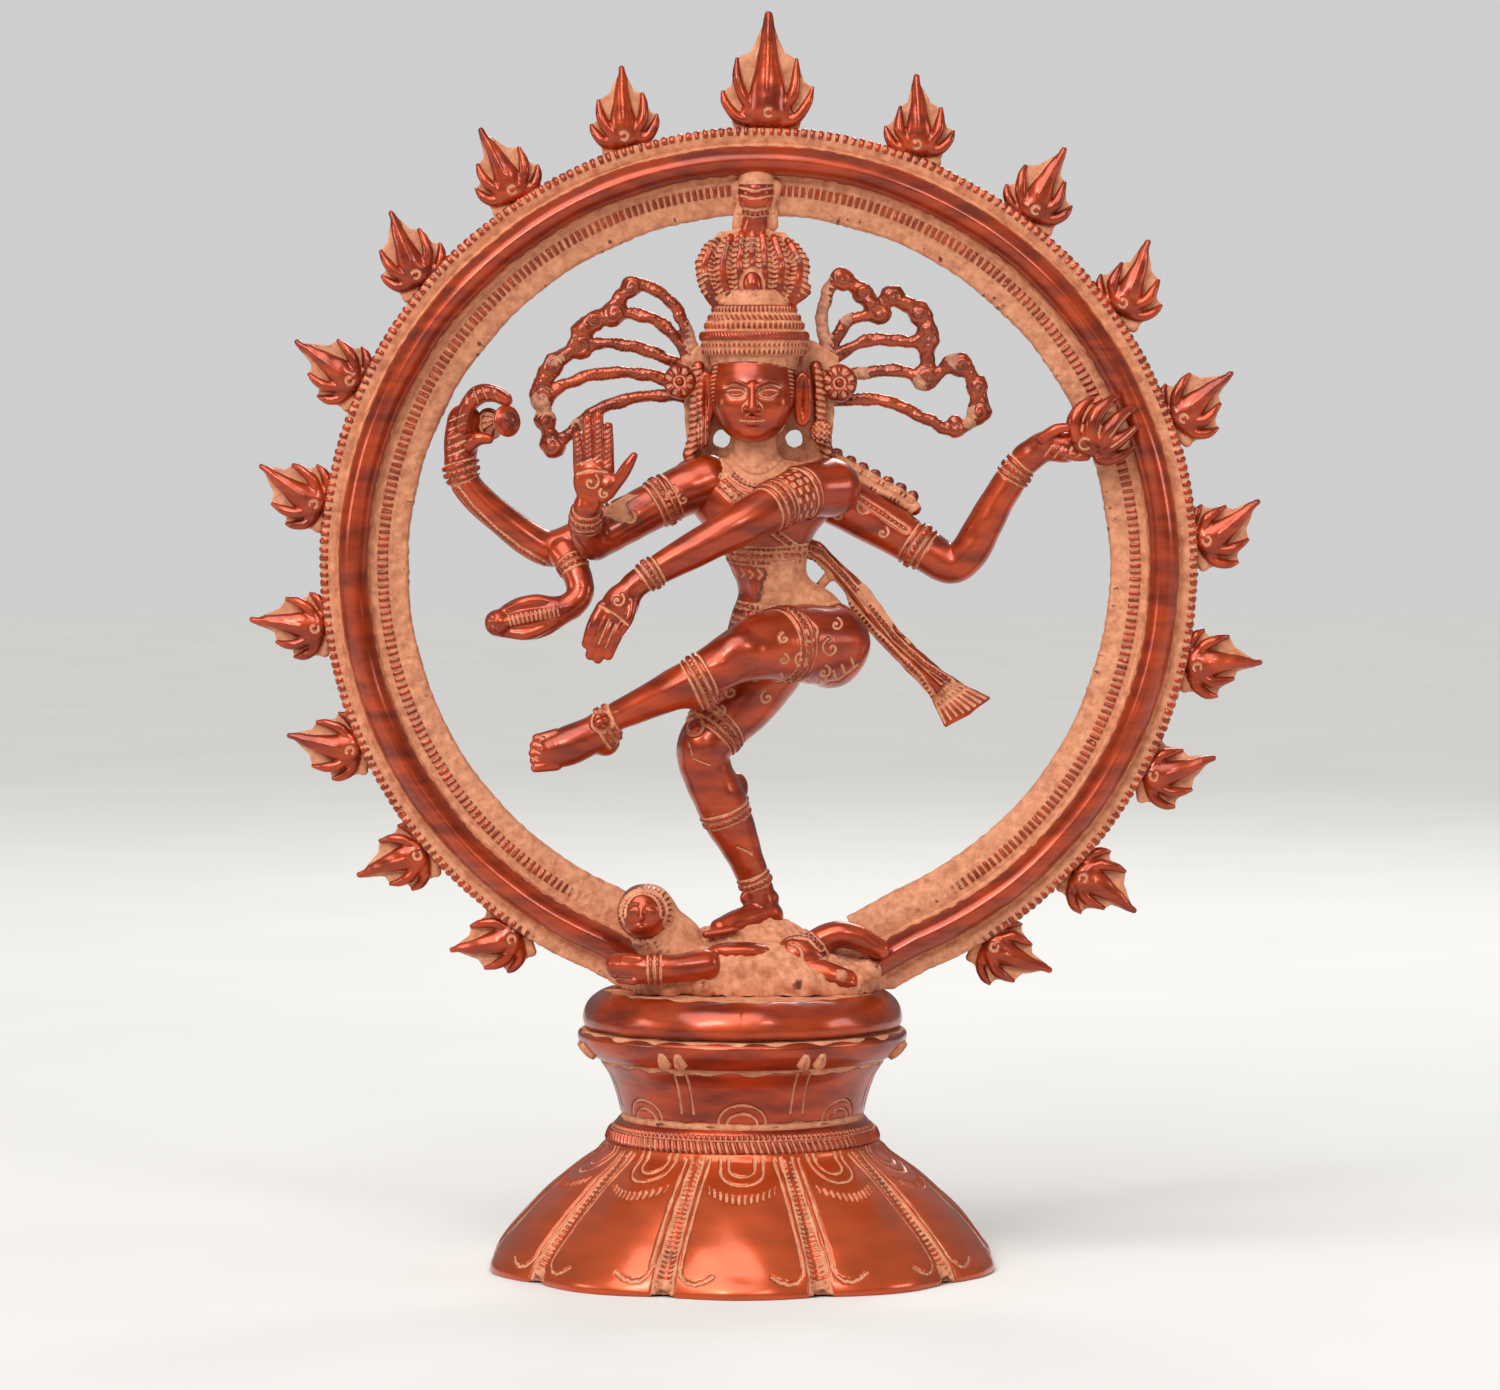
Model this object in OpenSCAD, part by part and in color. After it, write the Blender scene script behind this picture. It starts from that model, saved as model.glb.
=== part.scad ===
/* [Pedestal] */
// Outer diameter of the lotus skirt at its rim
skirt_d = 151; // [126:1:181]
// Height of the lotus skirt
skirt_h = 38; // [31:1:46]
// Outer diameter of the rope collar
collar_d = 81; // [74:1:90]
// Height of the rope collar
collar_h = 6.5; // [5:0.5:8]
// Outer diameter of the waist drum at its foot
waist_d = 73; // [62:1:78]
// Outer diameter of the waist drum at its head
drum_top_d = 86; // [76:1:92]
// Height of the waist drum
waist_h = 18.5; // [15:0.5:24]
// Outer diameter of the bead lip
lip_d = 99; // [94:1:112]
// Height of the bead lip
lip_h = 9; // [7:0.5:11]
// Outer diameter of the cushion
cushion_d = 95; // [90:1:108]
// Height of the cushion
cushion_h = 11; // [9:0.5:14]
// Wall thickness of the hollow castings
wall_t = 3.5; // [2.5:0.1:4.5]
// How far the pedestal's axis stands to the left of the arch's centre
pedestal_shift = 5; // [0:0.5:6]

/* [Arch] */
// Inner radius of the flame arch; the figure inside it keeps the same proportion
arch_in_r = 105.5; // [88:0.5:127]
// Width of the arch's band, from its inner to its outer edge
arch_w = 26; // [22:0.5:31]
// Depth of the arch's rib, from the flat back to the crest of the rib
arch_depth = 15; // [12:0.5:18]
// Height of the crest flame above the arch
crest_h = 35; // [28:1:42]
// Height of each side flame above the arch
flame_h = 25; // [20:1:30]
// Thickness of the flames' backing plate
flame_t = 3; // [2:0.5:4]
// Number of flames on each side
side_flames = 9; // [7:1:9]

/* [Fixings] */
// Thread diameter of the bolts that hold the arch's feet
bolt_d = 5; // [4:0.5:6]
// Depth to which each bolt enters its foot
bolt_grip = 9; // [7:0.5:11]
// Outer diameter of the bolts' washers
washer_d = 11; // [9:0.5:12]
// Thickness of the bolts' washers
washer_t = 1.2; // [0.8:0.1:1.6]
// Clearance round each spigot and bolt
fit_gap = 0.2; // [0.1:0.05:0.4]

/* [Hidden] */

// Levels of the pedestal's castings, from the table up
collar_z = skirt_h;
drum_z = collar_z + collar_h;
lip_z = drum_z + waist_h;
cushion_z = lip_z + lip_h;
plinth_z = cushion_z + cushion_h;

// Each casting has a spigot below that drops into the bore of the casting under it
spigot_h = 3;
spigot_t = 2;
skirt_bore_r = waist_d / 2 - wall_t - 4;
collar_bore_r = skirt_bore_r - fit_gap - spigot_t;
drum_bore_r = collar_bore_r - fit_gap - spigot_t;
drum_mouth_r = drum_top_d / 2 - wall_t - 2.5;
lip_bore_r = drum_mouth_r - fit_gap - spigot_t;
cushion_bore_r = lip_bore_r - fit_gap - spigot_t;
cushion_plate_t = wall_t + 0.5;

// The figure was modelled for an arch of this inner radius and is scaled with it
design_in_r = 105.5;
fig_k = arch_in_r / design_in_r;
// Height of the arch's centre above the plinth, for the design radius
arch_rise = 127;
arch_out_r = arch_in_r + arch_w;
arch_back = 7 * fig_k;
arch_front = arch_back - arch_depth;
rib_w = arch_w * 0.35;
rib_mid_r = arch_in_r + arch_w * 0.615;
// The bolts reach the feet through the cushion's bore, with room beside the washers for a socket
foot_x = cushion_bore_r - washer_d / 2 - pedestal_shift - 1;
foot_hole_depth = bolt_grip + 1;
first_left_angle = 17.5;
left_pitch = 16.2;
first_right_angle = 21;
right_pitch = 17.2;
most_flame_lean = 42;

round_fn = 96;
arch_fn = 192;
ball_fn = 14;
small_fn = 10;
patina = "#d88f68";
lacquer = "#b8431c";
dark_lacquer = "#7d2a1c";
steel = "#8d9296";

function bezier(a, b, c, d, n) = [for (i = [0:n]) let (t = i / n)
    a * pow(1 - t, 3) + b * 3 * t * pow(1 - t, 2) + c * 3 * t * t * (1 - t) + d * pow(t, 3)];
function reversed(list) = [for (i = [len(list) - 1:-1:0]) list[i]];

module on_pedestal(z) translate([-pedestal_shift, 0, z]) children();
module on_plinth() translate([0, 0, plinth_z]) scale(fig_k) children();

// ---- Pedestal castings ----

// A hollow ring: an outer outline turned round the axis, open along a straight bore
module turned(outline) rotate_extrude($fn = round_fn) polygon(outline);

// The short tube under a casting that centres it in the bore below
module spigot(bore_r) {
    difference() {
        translate([0, 0, -spigot_h]) cylinder(r = bore_r - fit_gap, h = spigot_h + 1, $fn = round_fn);
        translate([0, 0, -spigot_h - 1])
            cylinder(r = bore_r - fit_gap - spigot_t, h = spigot_h + 3, $fn = round_fn);
    }
}

// Bell-shaped shell on a flat rim, with a ledge at the top round its bore
module lotus_skirt() {
    rim_r = skirt_d / 2;
    top_r = collar_d / 2 + 0.5;
    spread = rim_r - top_r;
    outer = bezier([rim_r, 1.5], [rim_r - 0.28 * spread, 0.3 * skirt_h],
        [top_r + 0.34 * spread, 0.74 * skirt_h], [top_r, skirt_h], 12);
    inner = [for (p = outer) [p.x - wall_t * 0.95, p.y - wall_t * 0.75]];
    under_ledge = skirt_h - wall_t;
    wall_inside = [for (p = inner) if (p.y > 0 && p.y < under_ledge) p];
    outline = concat([[rim_r, 0]], outer, [[skirt_bore_r, skirt_h], [skirt_bore_r, under_ledge]],
        reversed(wall_inside), [[rim_r - wall_t * 0.95, 0]]);
    color(lacquer) on_pedestal(0) turned(outline);
}

// Thick rolled ring, notched all round like a rope
module rope_collar() {
    foot_r = collar_d / 2;
    head_r = waist_d / 2 + 0.8;
    notch_count = 60;
    color(patina) on_pedestal(collar_z) {
        difference() {
            turned([[collar_bore_r, 0], [foot_r, 0], [foot_r + 0.6, collar_h * 0.25],
                [foot_r - 0.4, collar_h * 0.45], [head_r + 1.6, collar_h * 0.6],
                [head_r + 1.6, collar_h * 0.85], [head_r, collar_h], [collar_bore_r, collar_h]]);
            translate([0, 0, collar_h * 0.72]) rotate_extrude($fn = round_fn)
                translate([head_r + 2, 0]) circle(r = 0.5, $fn = 16);
        }
        spigot(skirt_bore_r);
    }
}

// Hollow drum that flares upward to carry the bead lip
module waist_drum() {
    foot_r = waist_d / 2;
    head_r = drum_top_d / 2;
    color(lacquer) on_pedestal(drum_z) {
        turned([[drum_bore_r, 0], [foot_r, 0], [foot_r + 0.5, waist_h * 0.3],
            [(foot_r + head_r) / 2, waist_h * 0.7], [head_r, waist_h],
            [drum_mouth_r, waist_h], [drum_mouth_r, waist_h - spigot_h - 1],
            [(foot_r + head_r) / 2 - wall_t, waist_h * 0.7],
            [foot_r + 0.5 - wall_t, waist_h * 0.3], [foot_r - wall_t, wall_t],
            [drum_bore_r, wall_t]]);
        spigot(collar_bore_r);
    }
}

// Moulded lip that overhangs the drum, with pairs of pointed lugs in its hollow
module bead_lip() {
    lip_r = lip_d / 2;
    lug_pairs = 8;
    lug_z = 1.5;
    color(lacquer) on_pedestal(lip_z) {
        turned([[lip_bore_r, 0], [drum_top_d / 2 + 2, 0], [lip_r - 2.5, lip_h * 0.2],
            [lip_r - 0.5, lip_h * 0.45], [lip_r, lip_h * 0.65], [lip_r - 1, lip_h * 0.85],
            [cushion_d / 2 - 2, lip_h], [lip_bore_r, lip_h]]);
        spigot(drum_mouth_r);
        for (i = [0:lug_pairs - 1], side = [-3.5, 3.5])
            rotate([0, 0, (i + 0.5) * 360 / lug_pairs + side])
                translate([lip_r - 2.5, 0, lug_z]) rotate([0, 70, 0])
                    cylinder(r1 = 1.9, r2 = 0.6, h = 4, $fn = 16);
    }
}

// Closed cushion with a rolled edge; the arch is bolted through its top plate
module cushion_plinth() {
    edge_r = cushion_d / 2;
    top_r = edge_r - 6;
    rolled = bezier([edge_r - 2, 0], [edge_r + 1.5, cushion_h * 0.3],
        [edge_r + 0.5, cushion_h], [top_r, cushion_h], 8);
    color(lacquer) on_pedestal(cushion_z) {
        difference() {
            turned(concat([[0, 0]], rolled, [[0, cushion_h]]));
            translate([0, 0, -1])
                cylinder(r = cushion_bore_r, h = cushion_h - cushion_plate_t + 1, $fn = round_fn);
            for (side = [-1, 1]) translate([side * foot_x + pedestal_shift, 0, -1])
                cylinder(d = bolt_d + 2 * fit_gap, h = cushion_h + 2, $fn = 32);
        }
        spigot(lip_bore_r);
    }
}

// ---- Fixings of the arch ----

plate_under_z = plinth_z - cushion_plate_t;

module at_feet() for (side = [-1, 1]) translate([side * foot_x, 0, 0]) children();

// Two hexagon-head bolts, put in from inside the pedestal
module arch_bolts() {
    head_h = bolt_d * 0.7;
    shank = washer_t + cushion_plate_t + bolt_grip;
    color(steel) at_feet() translate([0, 0, plate_under_z - washer_t - head_h]) {
        cylinder(d = bolt_d * 1.75, h = head_h, $fn = 6);
        cylinder(d = bolt_d, h = head_h + shank, $fn = 32);
    }
}

module arch_washers() {
    color(steel) at_feet() translate([0, 0, plate_under_z - washer_t]) difference() {
        cylinder(d = washer_d, h = washer_t, $fn = 48);
        translate([0, 0, -1]) cylinder(d = bolt_d + 2 * fit_gap, h = washer_t + 2, $fn = 32);
    }
}

// ---- Flame arch ----

// Section of the band: a half-round rib between a beaded outer and a stepped inner flange
function arch_section() = let (a = arch_in_r, w = arch_w, b = arch_back, f = arch_front, half = rib_w / 2)
    concat(
        [[a, b], [a, b - 4], [a + 0.12 * w, b - 5], [a + 0.16 * w, b - 6], [a + 0.2 * w, b - 7],
            [a + 0.38 * w, b - 7.5], [rib_mid_r - half, b - 6.5]],
        [for (i = [0:8]) [rib_mid_r - half * cos(i * 22.5), b - 8.5 + (f - b + 8.5) * sin(i * 22.5)]],
        [[rib_mid_r + half, b - 7.5], [a + 0.84 * w, b - 8], [a + 0.86 * w, b - 9],
            [a + 0.94 * w, b - 9], [a + 0.96 * w, b - 7.5], [a + w, b - 6.5], [a + w, b]]
    );

arch_centre_z = plinth_z + arch_rise * fig_k;

// The band turned from foot to foot
module arch_band() {
    open_angle = 22;
    translate([0, 0, arch_centre_z]) rotate([90, 0, 0]) rotate([0, 0, open_angle - 90])
        rotate_extrude(angle = 360 - 2 * open_angle, $fn = arch_fn)
            polygon([for (p = arch_section()) [p.x, -p.y]]);
}

// Block under each end of the band that stands on the plinth
module arch_foot() {
    sweep = arch_rise * fig_k;
    overlap_angle = 25;
    inset = 1.2;
    inner_r = arch_in_r + inset;
    outer_r = arch_out_r - inset;
    inner = [inner_r * sin(overlap_angle), sweep - inner_r * cos(overlap_angle)];
    outer = [outer_r * sin(overlap_angle), sweep - outer_r * cos(overlap_angle)];
    translate([0, arch_back - inset / 2, plinth_z]) rotate([90, 0, 0])
        linear_extrude(arch_depth - inset)
            polygon([[foot_x - 6, 0], [foot_x - 4, 12 * fig_k], inner, outer, [foot_x + 20, 0]]);
}

module arch_ring() {
    color(patina) difference() {
        union() {
            arch_band();
            arch_foot();
            mirror([1, 0, 0]) arch_foot();
        }
        at_feet() translate([0, 0, plinth_z - 1])
            cylinder(d = bolt_d + 2 * fit_gap, h = foot_hole_depth + 1, $fn = 32);
    }
}

// One flame: a pointed backing plate, a thick middle tongue and two side tongues
module flame(height, width) {
    w = width / 2;
    sink = 3;
    plate = [[-0.62 * w, -sink], [-w, 0.14 * height], [-0.86 * w, 0.28 * height],
        [-w, 0.46 * height], [-0.66 * w, 0.5 * height], [-0.6 * w, 0.74 * height],
        [-0.3 * w, 0.7 * height], [0, height], [0.3 * w, 0.7 * height], [0.6 * w, 0.74 * height],
        [0.66 * w, 0.5 * height], [w, 0.46 * height], [0.86 * w, 0.28 * height],
        [w, 0.14 * height], [0.62 * w, -sink]];
    tongue = concat([[-0.42 * w, 0.02 * height]],
        bezier([-0.5 * w, 0.12 * height], [-0.5 * w, 0.5 * height], [-0.08 * w, 0.62 * height],
            [0, 0.95 * height], 5),
        bezier([0.1 * w, 0.7 * height], [0.2 * w, 0.5 * height], [0.5 * w, 0.4 * height],
            [0.5 * w, 0.12 * height], 5), [[0.42 * w, 0.02 * height]]);
    rotate([90, 0, 0]) {
        linear_extrude(flame_t, center = true) polygon(plate);
        linear_extrude(flame_t * 2) polygon(tongue);
        for (side = [-1, 1]) linear_extrude(flame_t * 1.4) polygon([[side * 0.58 * w, 0.06 * height],
            [side * 0.84 * w, 0.2 * height], [side * 0.74 * w, 0.44 * height],
            [side * 0.56 * w, 0.34 * height]]);
    }
}

// Puts a flame on the arch's outer edge, leaning back toward upright, cut to seat on the edge
module flame_at(angle, lean) {
    difference() {
        translate([0, 0, arch_centre_z]) rotate([0, angle, 0]) translate([0, 0, arch_out_r])
            rotate([0, -lean, 0]) children();
        translate([0, arch_back + 10, arch_centre_z]) rotate([90, 0, 0])
            cylinder(r = arch_out_r, h = arch_depth + 20, $fn = round_fn);
    }
}

function flame_lean(angle) = min(0.45 * angle, most_flame_lean);
flame_y = arch_back - 3.5;

module crest_flame() {
    color(lacquer) translate([0, flame_y, 0]) flame_at(1, 0) flame(crest_h, crest_h * 0.84);
}

module left_flames() {
    color(lacquer) translate([0, flame_y, 0]) for (i = [0:side_flames - 1])
        let (angle = first_left_angle + left_pitch * i)
            flame_at(-angle, -flame_lean(angle)) flame(flame_h, flame_h * 0.9);
}

module right_flames() {
    color(lacquer) translate([0, flame_y, 0]) for (i = [0:side_flames - 1])
        let (angle = first_right_angle + right_pitch * i - 0.15 * i * i)
            flame_at(angle, flame_lean(angle)) flame(flame_h, flame_h * 0.9);
}

// ---- Figure: every point is [x, y, height above the plinth, radius] ----

module ball(p, flatten = 1, fn = ball_fn)
    translate([p.x, p.y, p.z]) scale([1, flatten, 1]) sphere(r = p[3], $fn = fn);
module limb(points, flatten = 1, fn = ball_fn)
    for (i = [0:len(points) - 2]) hull() {
        ball(points[i], flatten, fn);
        ball(points[i + 1], flatten, fn);
    }

dwarf_spine = [[-33, -15, 18, 6], [-22, -12, 10, 8], [-6, -12, 9, 9], [8, -13, 9, 9], [14, -14, 8, 7]];
dwarf_head = [-34, -17, 25, 8];
dwarf_forearm = [[-40, -24, 8, 4.5], [-29, -25, 8, 4.5], [-18, -23, 9, 5]];
dwarf_legs = [[[14, -14, 8, 6], [24, -16, 7, 4], [25, -17, 4, 3.5]],
    [[12, -8, 11, 5], [26, -9, 16, 4], [34, -9, 14, 3.5]]];

chest_left = [-8, -5, 146, 13];
chest_right = [9, -5, 145, 13];
ribs = [2, -5, 134, 13];
belly = [4, -5, 121, 10.5];
pelvis = [12, -4, 108, 15];
groin = [3, -4, 106, 12];
shoulder_left = [-18, -3, 152, 8];
shoulder_right = [19, -3, 150, 8];
neck = [[-1, -4, 154, 8], [-1, -5, 168, 6.5]];
skull = [-2, -5, 179, 14.5];
jaw = [-2, -9, 168, 7];

front_right_path = [[-19, -6, 152, 7.5], [-35, -10, 143, 6.6], [-50, -15, 134, 5.8], [-51, -26, 145, 4.4]];
front_right_palm = [[-50, -28, 149, 5], [-46, -29, 158, 6.2]];
front_left_path = [[20, -8, 150, 9], [8, -18, 146, 8], [-4, -26, 141, 7], [-17, -29, 134, 5.5],
    [-30, -31, 127, 4.2], [-38, -32, 121, 5]];
rear_right_path = [[-18, 3, 152, 8], [-40, 1, 142, 7], [-60, -1, 133, 6], [-65, -1, 132, 5.5],
    [-86, -4, 149, 4.4], [-89, -4, 156, 5], [-89, -4, 168, 5.5], [-84, -5, 177, 4]];
rear_left_path = [[19, 3, 150, 9], [34, 3, 141, 7.5], [46, 2, 134, 6.8], [59, 0, 127, 6],
    [68, -2, 141, 5.6], [77, -4, 156, 4.6], [85, -6, 163, 5.5], [94, -7, 161, 5]];
raised_path = [[19, -8, 104, 12], [6, -20, 104, 11], [-5, -29, 103, 9], [-17, -31, 95, 7.5],
    [-31, -29, 88, 5.8], [-45, -27, 82, 4.4], [-48, -27, 78, 5], [-59, -27, 76, 4.8], [-66, -27, 74, 3]];
standing_path = [[3, -4, 99, 12], [-7, -9, 85, 9.8], [-17, -14, 74, 8.2], [-12.5, -11, 61, 8],
    [-9, -8, 52, 7], [-3.5, -5, 39, 5.6], [0, -3, 29, 4.8], [2, -2, 24, 5.5], [-6, -8, 22, 4.5],
    [-14, -13, 20, 3.2]];

module dwarf_shape() difference() {
    union() {
        limb(dwarf_spine);
        hull() {
            ball(dwarf_head);
            ball([-34, -14, 23, 7]);
        }
        limb(dwarf_forearm);
        for (leg = dwarf_legs) limb(leg);
    }
    translate([0, 0, -50]) cube(100, center = true);
}

module standing_leg_shape() limb(standing_path);

module raised_leg_shape() limb(raised_path);

module torso_shape() {
    flat = 0.78;
    hull() {
        ball(chest_left, flat);
        ball(chest_right, flat);
        ball(ribs, flat);
    }
    limb([ribs, belly], flat);
    hull() {
        ball(belly, flat);
        ball(groin, flat);
        ball(pelvis, flat);
    }
    limb([shoulder_left, chest_left], flat);
    limb([shoulder_right, chest_right], flat);
    limb([neck[0], neck[1]]);
    hull() {
        ball(shoulder_left, flat);
        ball(neck[0]);
        ball(shoulder_right, flat);
    }
}

module head_shape() {
    hull() {
        ball(skull, 0.9, 20);
        ball(jaw, 1, 16);
    }
    hull() {
        translate([-1, -4, 190]) cylinder(r = 15.5, h = 4, $fn = 28);
        translate([-1, -3, 203]) cylinder(r = 10.5, h = 1, $fn = 28);
    }
}

module crown_fan_shape() {
    for (i = [-3:3]) hull() {
        ball([i * 2.2 - 1, -2, 205, 3.4], 1, small_fn);
        ball([i * 5.2 - 2, -1, 225 - abs(i) * 2.2, 3], 1, small_fn);
    }
    ball([-2, -6, 211, 3.4], 1, small_fn);
}

// Mass of rock that fills the space between the arch's feet
module rock_mound() {
    color(patina) on_plinth() difference() {
        union() {
            hull() {
                translate([-2, -6, 0]) scale([1, 0.66, 1]) rotate(3) cylinder(r = 37, h = 3, $fn = 36);
                translate([-6, -4, 9]) scale([1, 0.5, 1]) rotate(4) cylinder(r = 26, h = 1, $fn = 36);
            }
            hull() {
                translate([-4, 0, 8]) scale([1, 0.4, 1]) rotate(5) cylinder(r = 24, h = 2, $fn = 24);
                translate([-4, 2, 14]) scale([1, 0.4, 1]) rotate(2) cylinder(r = 15, h = 1, $fn = 24);
            }
        }
        dwarf_shape();
        standing_leg_shape();
        scale(1 / fig_k) translate([0, 0, -plinth_z]) {
            arch_foot();
            mirror([1, 0, 0]) arch_foot();
        }
    }
}

// Prone dwarf on which the standing foot treads
module dwarf() {
    color(lacquer) on_plinth() difference() {
        dwarf_shape();
        standing_leg_shape();
        scale(1 / fig_k) translate([0, 0, -plinth_z]) {
            arch_band();
            arch_foot();
            mirror([1, 0, 0]) arch_foot();
        }
    }
}

module torso() {
    color(lacquer) on_plinth() torso_shape();
}

module nape_web() translate([0, 5, 0]) rotate([90, 0, 0]) linear_extrude(5)
    polygon([[-25, 150], [-22, 160], [-23, 190], [-14, 196], [14, 196], [24, 190], [22, 160], [25, 150]]);

// Thin web behind the neck, pierced on each side, that ties head, hair and shoulders together
module nape_plate() {
    color(patina) on_plinth() difference() {
        nape_web();
        translate([0, 10, 0]) rotate([90, 0, 0]) linear_extrude(20) {
            translate([-11, 165.5]) circle(r = 2.8, $fn = 24);
            translate([10, 165.5]) circle(r = 2.8, $fn = 24);
        }
        torso_shape();
        head_shape();
        limb(rear_right_path);
        limb(rear_left_path);
    }
}

module head() {
    color(lacquer) on_plinth() difference() {
        head_shape();
        torso_shape();
    }
}

module crown_fan() {
    color(patina) on_plinth() difference() {
        crown_fan_shape();
        head_shape();
    }
}

// Knob that ties the crown to the inner flange of the arch
module crown_post() {
    color(lacquer) on_plinth() difference() {
        union() {
            ball([-1, -3, 238, 5.5], 0.8, 20);
            hull() {
                ball([-1, 0, 227, 5], 0.8);
                ball([-1, -1, 236, 4.5], 0.8);
            }
        }
        crown_fan_shape();
        scale(1 / fig_k) translate([0, 0, -plinth_z]) arch_band();
    }
}

strand_r = 2.2;
hair_y = 3;
module strand(points) limb([for (p = points) [p.x, hair_y, p.y, strand_r]], 1, 8);

module left_hair() {
    color(dark_lacquer) on_plinth() difference() {
        union() {
            strand([[-20, 193], [-26, 206], [-33, 211], [-39, 212], [-43, 202]]);
            strand([[-21, 190], [-28, 200], [-38, 203], [-48, 202], [-54, 192]]);
            strand([[-21, 186], [-34, 193], [-48, 194], [-61, 189], [-66, 177]]);
            strand([[-21, 181], [-36, 185], [-52, 184], [-65, 177], [-62, 162]]);
            strand([[-21, 178], [-36, 178], [-50, 173], [-62, 162]]);
        }
        nape_web();
        head_shape();
        limb(front_right_path);
    }
}

module right_hair() {
    color(dark_lacquer) on_plinth() difference() {
        union() {
            strand([[20, 193], [19, 208], [24, 214], [31, 208], [36, 203]]);
            strand([[21, 192], [26, 202], [36, 203], [38, 209], [48, 202]]);
            strand([[21, 189], [33, 195], [47, 195], [50, 202]]);
            strand([[21, 184], [42, 186], [50, 182], [60, 190], [67, 174]]);
            strand([[21, 177], [37, 177], [49, 172], [59, 168], [67, 174]]);
            strand([[47, 195], [50, 182]]);
        }
        nape_web();
        head_shape();
    }
}

// Ear loops, rosettes and ear pendants on both sides of the face
module ear_ornaments() {
    color(patina) on_plinth() difference() {
        for (side = [-1, 1]) union() {
            hull() {
                ball([side * 17 - 0.5, -5, 182, 3.5], 1, small_fn);
                ball([side * 17.5 - 0.5, -5, 170, 3.2], 1, small_fn);
            }
            hull() {
                ball([side * 18, -4, 170, 3.5], 1, small_fn);
                ball([side * 19, -4, 164, 4], 1, small_fn);
            }
            hull() {
                ball([side * 21, -3, 184, 4.5], 0.7, small_fn);
                ball([side * 23, -3, 180, 5], 0.7, small_fn);
            }
        }
        head_shape();
        torso_shape();
        nape_web();
        hair_roots();
        limb(rear_left_path);
        limb(rear_right_path);
    }
}

// Roots of the hair strands, which the rosettes are cut round
module hair_roots() {
    strand([[-23, 193], [-26, 206]]);
    strand([[-22, 186], [-34, 193]]);
    strand([[-22, 181], [-36, 185]]);
    strand([[-22, 178], [-36, 178]]);
    strand([[22, 189], [33, 195]]);
    strand([[22, 184], [42, 186]]);
    strand([[22, 177], [37, 177]]);
}

// Raised hand with the open palm
module front_right_arm() {
    color(lacquer) on_plinth() difference() {
        union() {
            limb(front_right_path);
            limb(front_right_palm, 0.6);
            for (i = [0:3]) limb([[-50 + i * 3, -29, 160, 1.9], [-51 + i * 3, -30, 172 - abs(i - 1) * 1.5, 1.5]],
                1, small_fn);
            limb([[-42, -29, 153, 2.4], [-37, -31, 160, 1.8]], 1, small_fn);
        }
        torso_shape();
        limb(rear_right_path);
    }
}

// Arm that crosses the chest and hangs like a trunk
module front_left_arm() {
    color(lacquer) on_plinth() difference() {
        union() {
            limb(front_left_path);
            limb([[-38, -32, 121, 5], [-43, -33, 113, 4.4]], 0.6);
            limb([[-44, -33, 114, 3.5], [-48, -33, 104, 2.4]], 0.7, small_fn);
        }
        torso_shape();
        limb(rear_left_path);
    }
}

module rear_right_arm() {
    color(lacquer) on_plinth() difference() {
        union() {
            limb(rear_right_path);
            limb([[-84, -5, 177, 3], [-77, -7, 178, 2.6]], 1, small_fn);
        }
        torso_shape();
    }
}

module rear_left_arm() {
    color(lacquer) on_plinth() difference() {
        limb(rear_left_path);
        torso_shape();
        scale(1 / fig_k) translate([0, 0, -plinth_z]) arch_band();
    }
}

drum_axis = [[-81, -7, 168], [-72, -8, 171]];

// Small hourglass drum held in the curled fingers
module hand_drum() {
    color(lacquer) on_plinth() difference() {
        hull() {
            ball([drum_axis[0].x, drum_axis[0].y, drum_axis[0].z, 4.6]);
            ball([drum_axis[1].x, drum_axis[1].y, drum_axis[1].z, 4.6]);
        }
        limb(rear_right_path);
        limb([[-84, -5, 177, 3], [-77, -7, 178, 2.6]], 1, small_fn);
    }
}

// Flame held on the open palm, its tip resting on the arch
module hand_flame() {
    color(lacquer) on_plinth() difference() {
        union() {
            hull() {
                ball([96, -8, 168, 5], 0.7);
                ball([103, -8, 168, 6], 0.7);
            }
            hull() {
                ball([103, -8, 168, 6], 0.7);
                ball([110, arch_front / fig_k, 174, 2], 0.8);
            }
            hull() {
                ball([100, -7, 160, 5], 0.7);
                ball([103, -8, 168, 6], 0.7);
            }
        }
        limb(rear_left_path);
        scale(1 / fig_k) translate([0, 0, -plinth_z]) arch_band();
    }
}

// Snake that loops over the forearm, with its hood toward the left
module cobra() {
    color(lacquer) on_plinth() difference() {
        limb([[-58, -7, 131, 4.6], [-54, -11, 126, 4.4], [-53, -12, 120, 4.2], [-56, -13, 115, 4.2],
            [-62, -14, 112, 4.6], [-70, -15, 110.5, 5], [-77, -16, 109, 3.2]]);
        limb(rear_right_path);
        limb(front_right_path);
    }
}

// Beaded end of the shoulder scarf, along the top of the rear left arm
module scarf() {
    color(patina) on_plinth() difference() {
        limb([[15, 4, 161, 3], [23, 4, 159, 3], [31, 4, 154, 3], [39, 4, 150, 3], [46, 4, 145, 3]], 0.8, small_fn);
        limb(rear_left_path);
        torso_shape();
        nape_web();
    }
}

// Flying end of the waist cloth
module sash() {
    thickness = 5;
    color(patina) on_plinth() difference() {
        translate([0, 6, 0]) rotate([90, 0, 0]) linear_extrude(thickness)
            polygon([[10, 136], [18, 134], [33, 121], [42, 108], [62, 91], [70, 88], [56, 78.5],
                [52, 88], [34, 106], [27, 111], [26, 118], [16, 129], [8, 130]]);
        torso_shape();
        limb(raised_path);
    }
}

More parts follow.
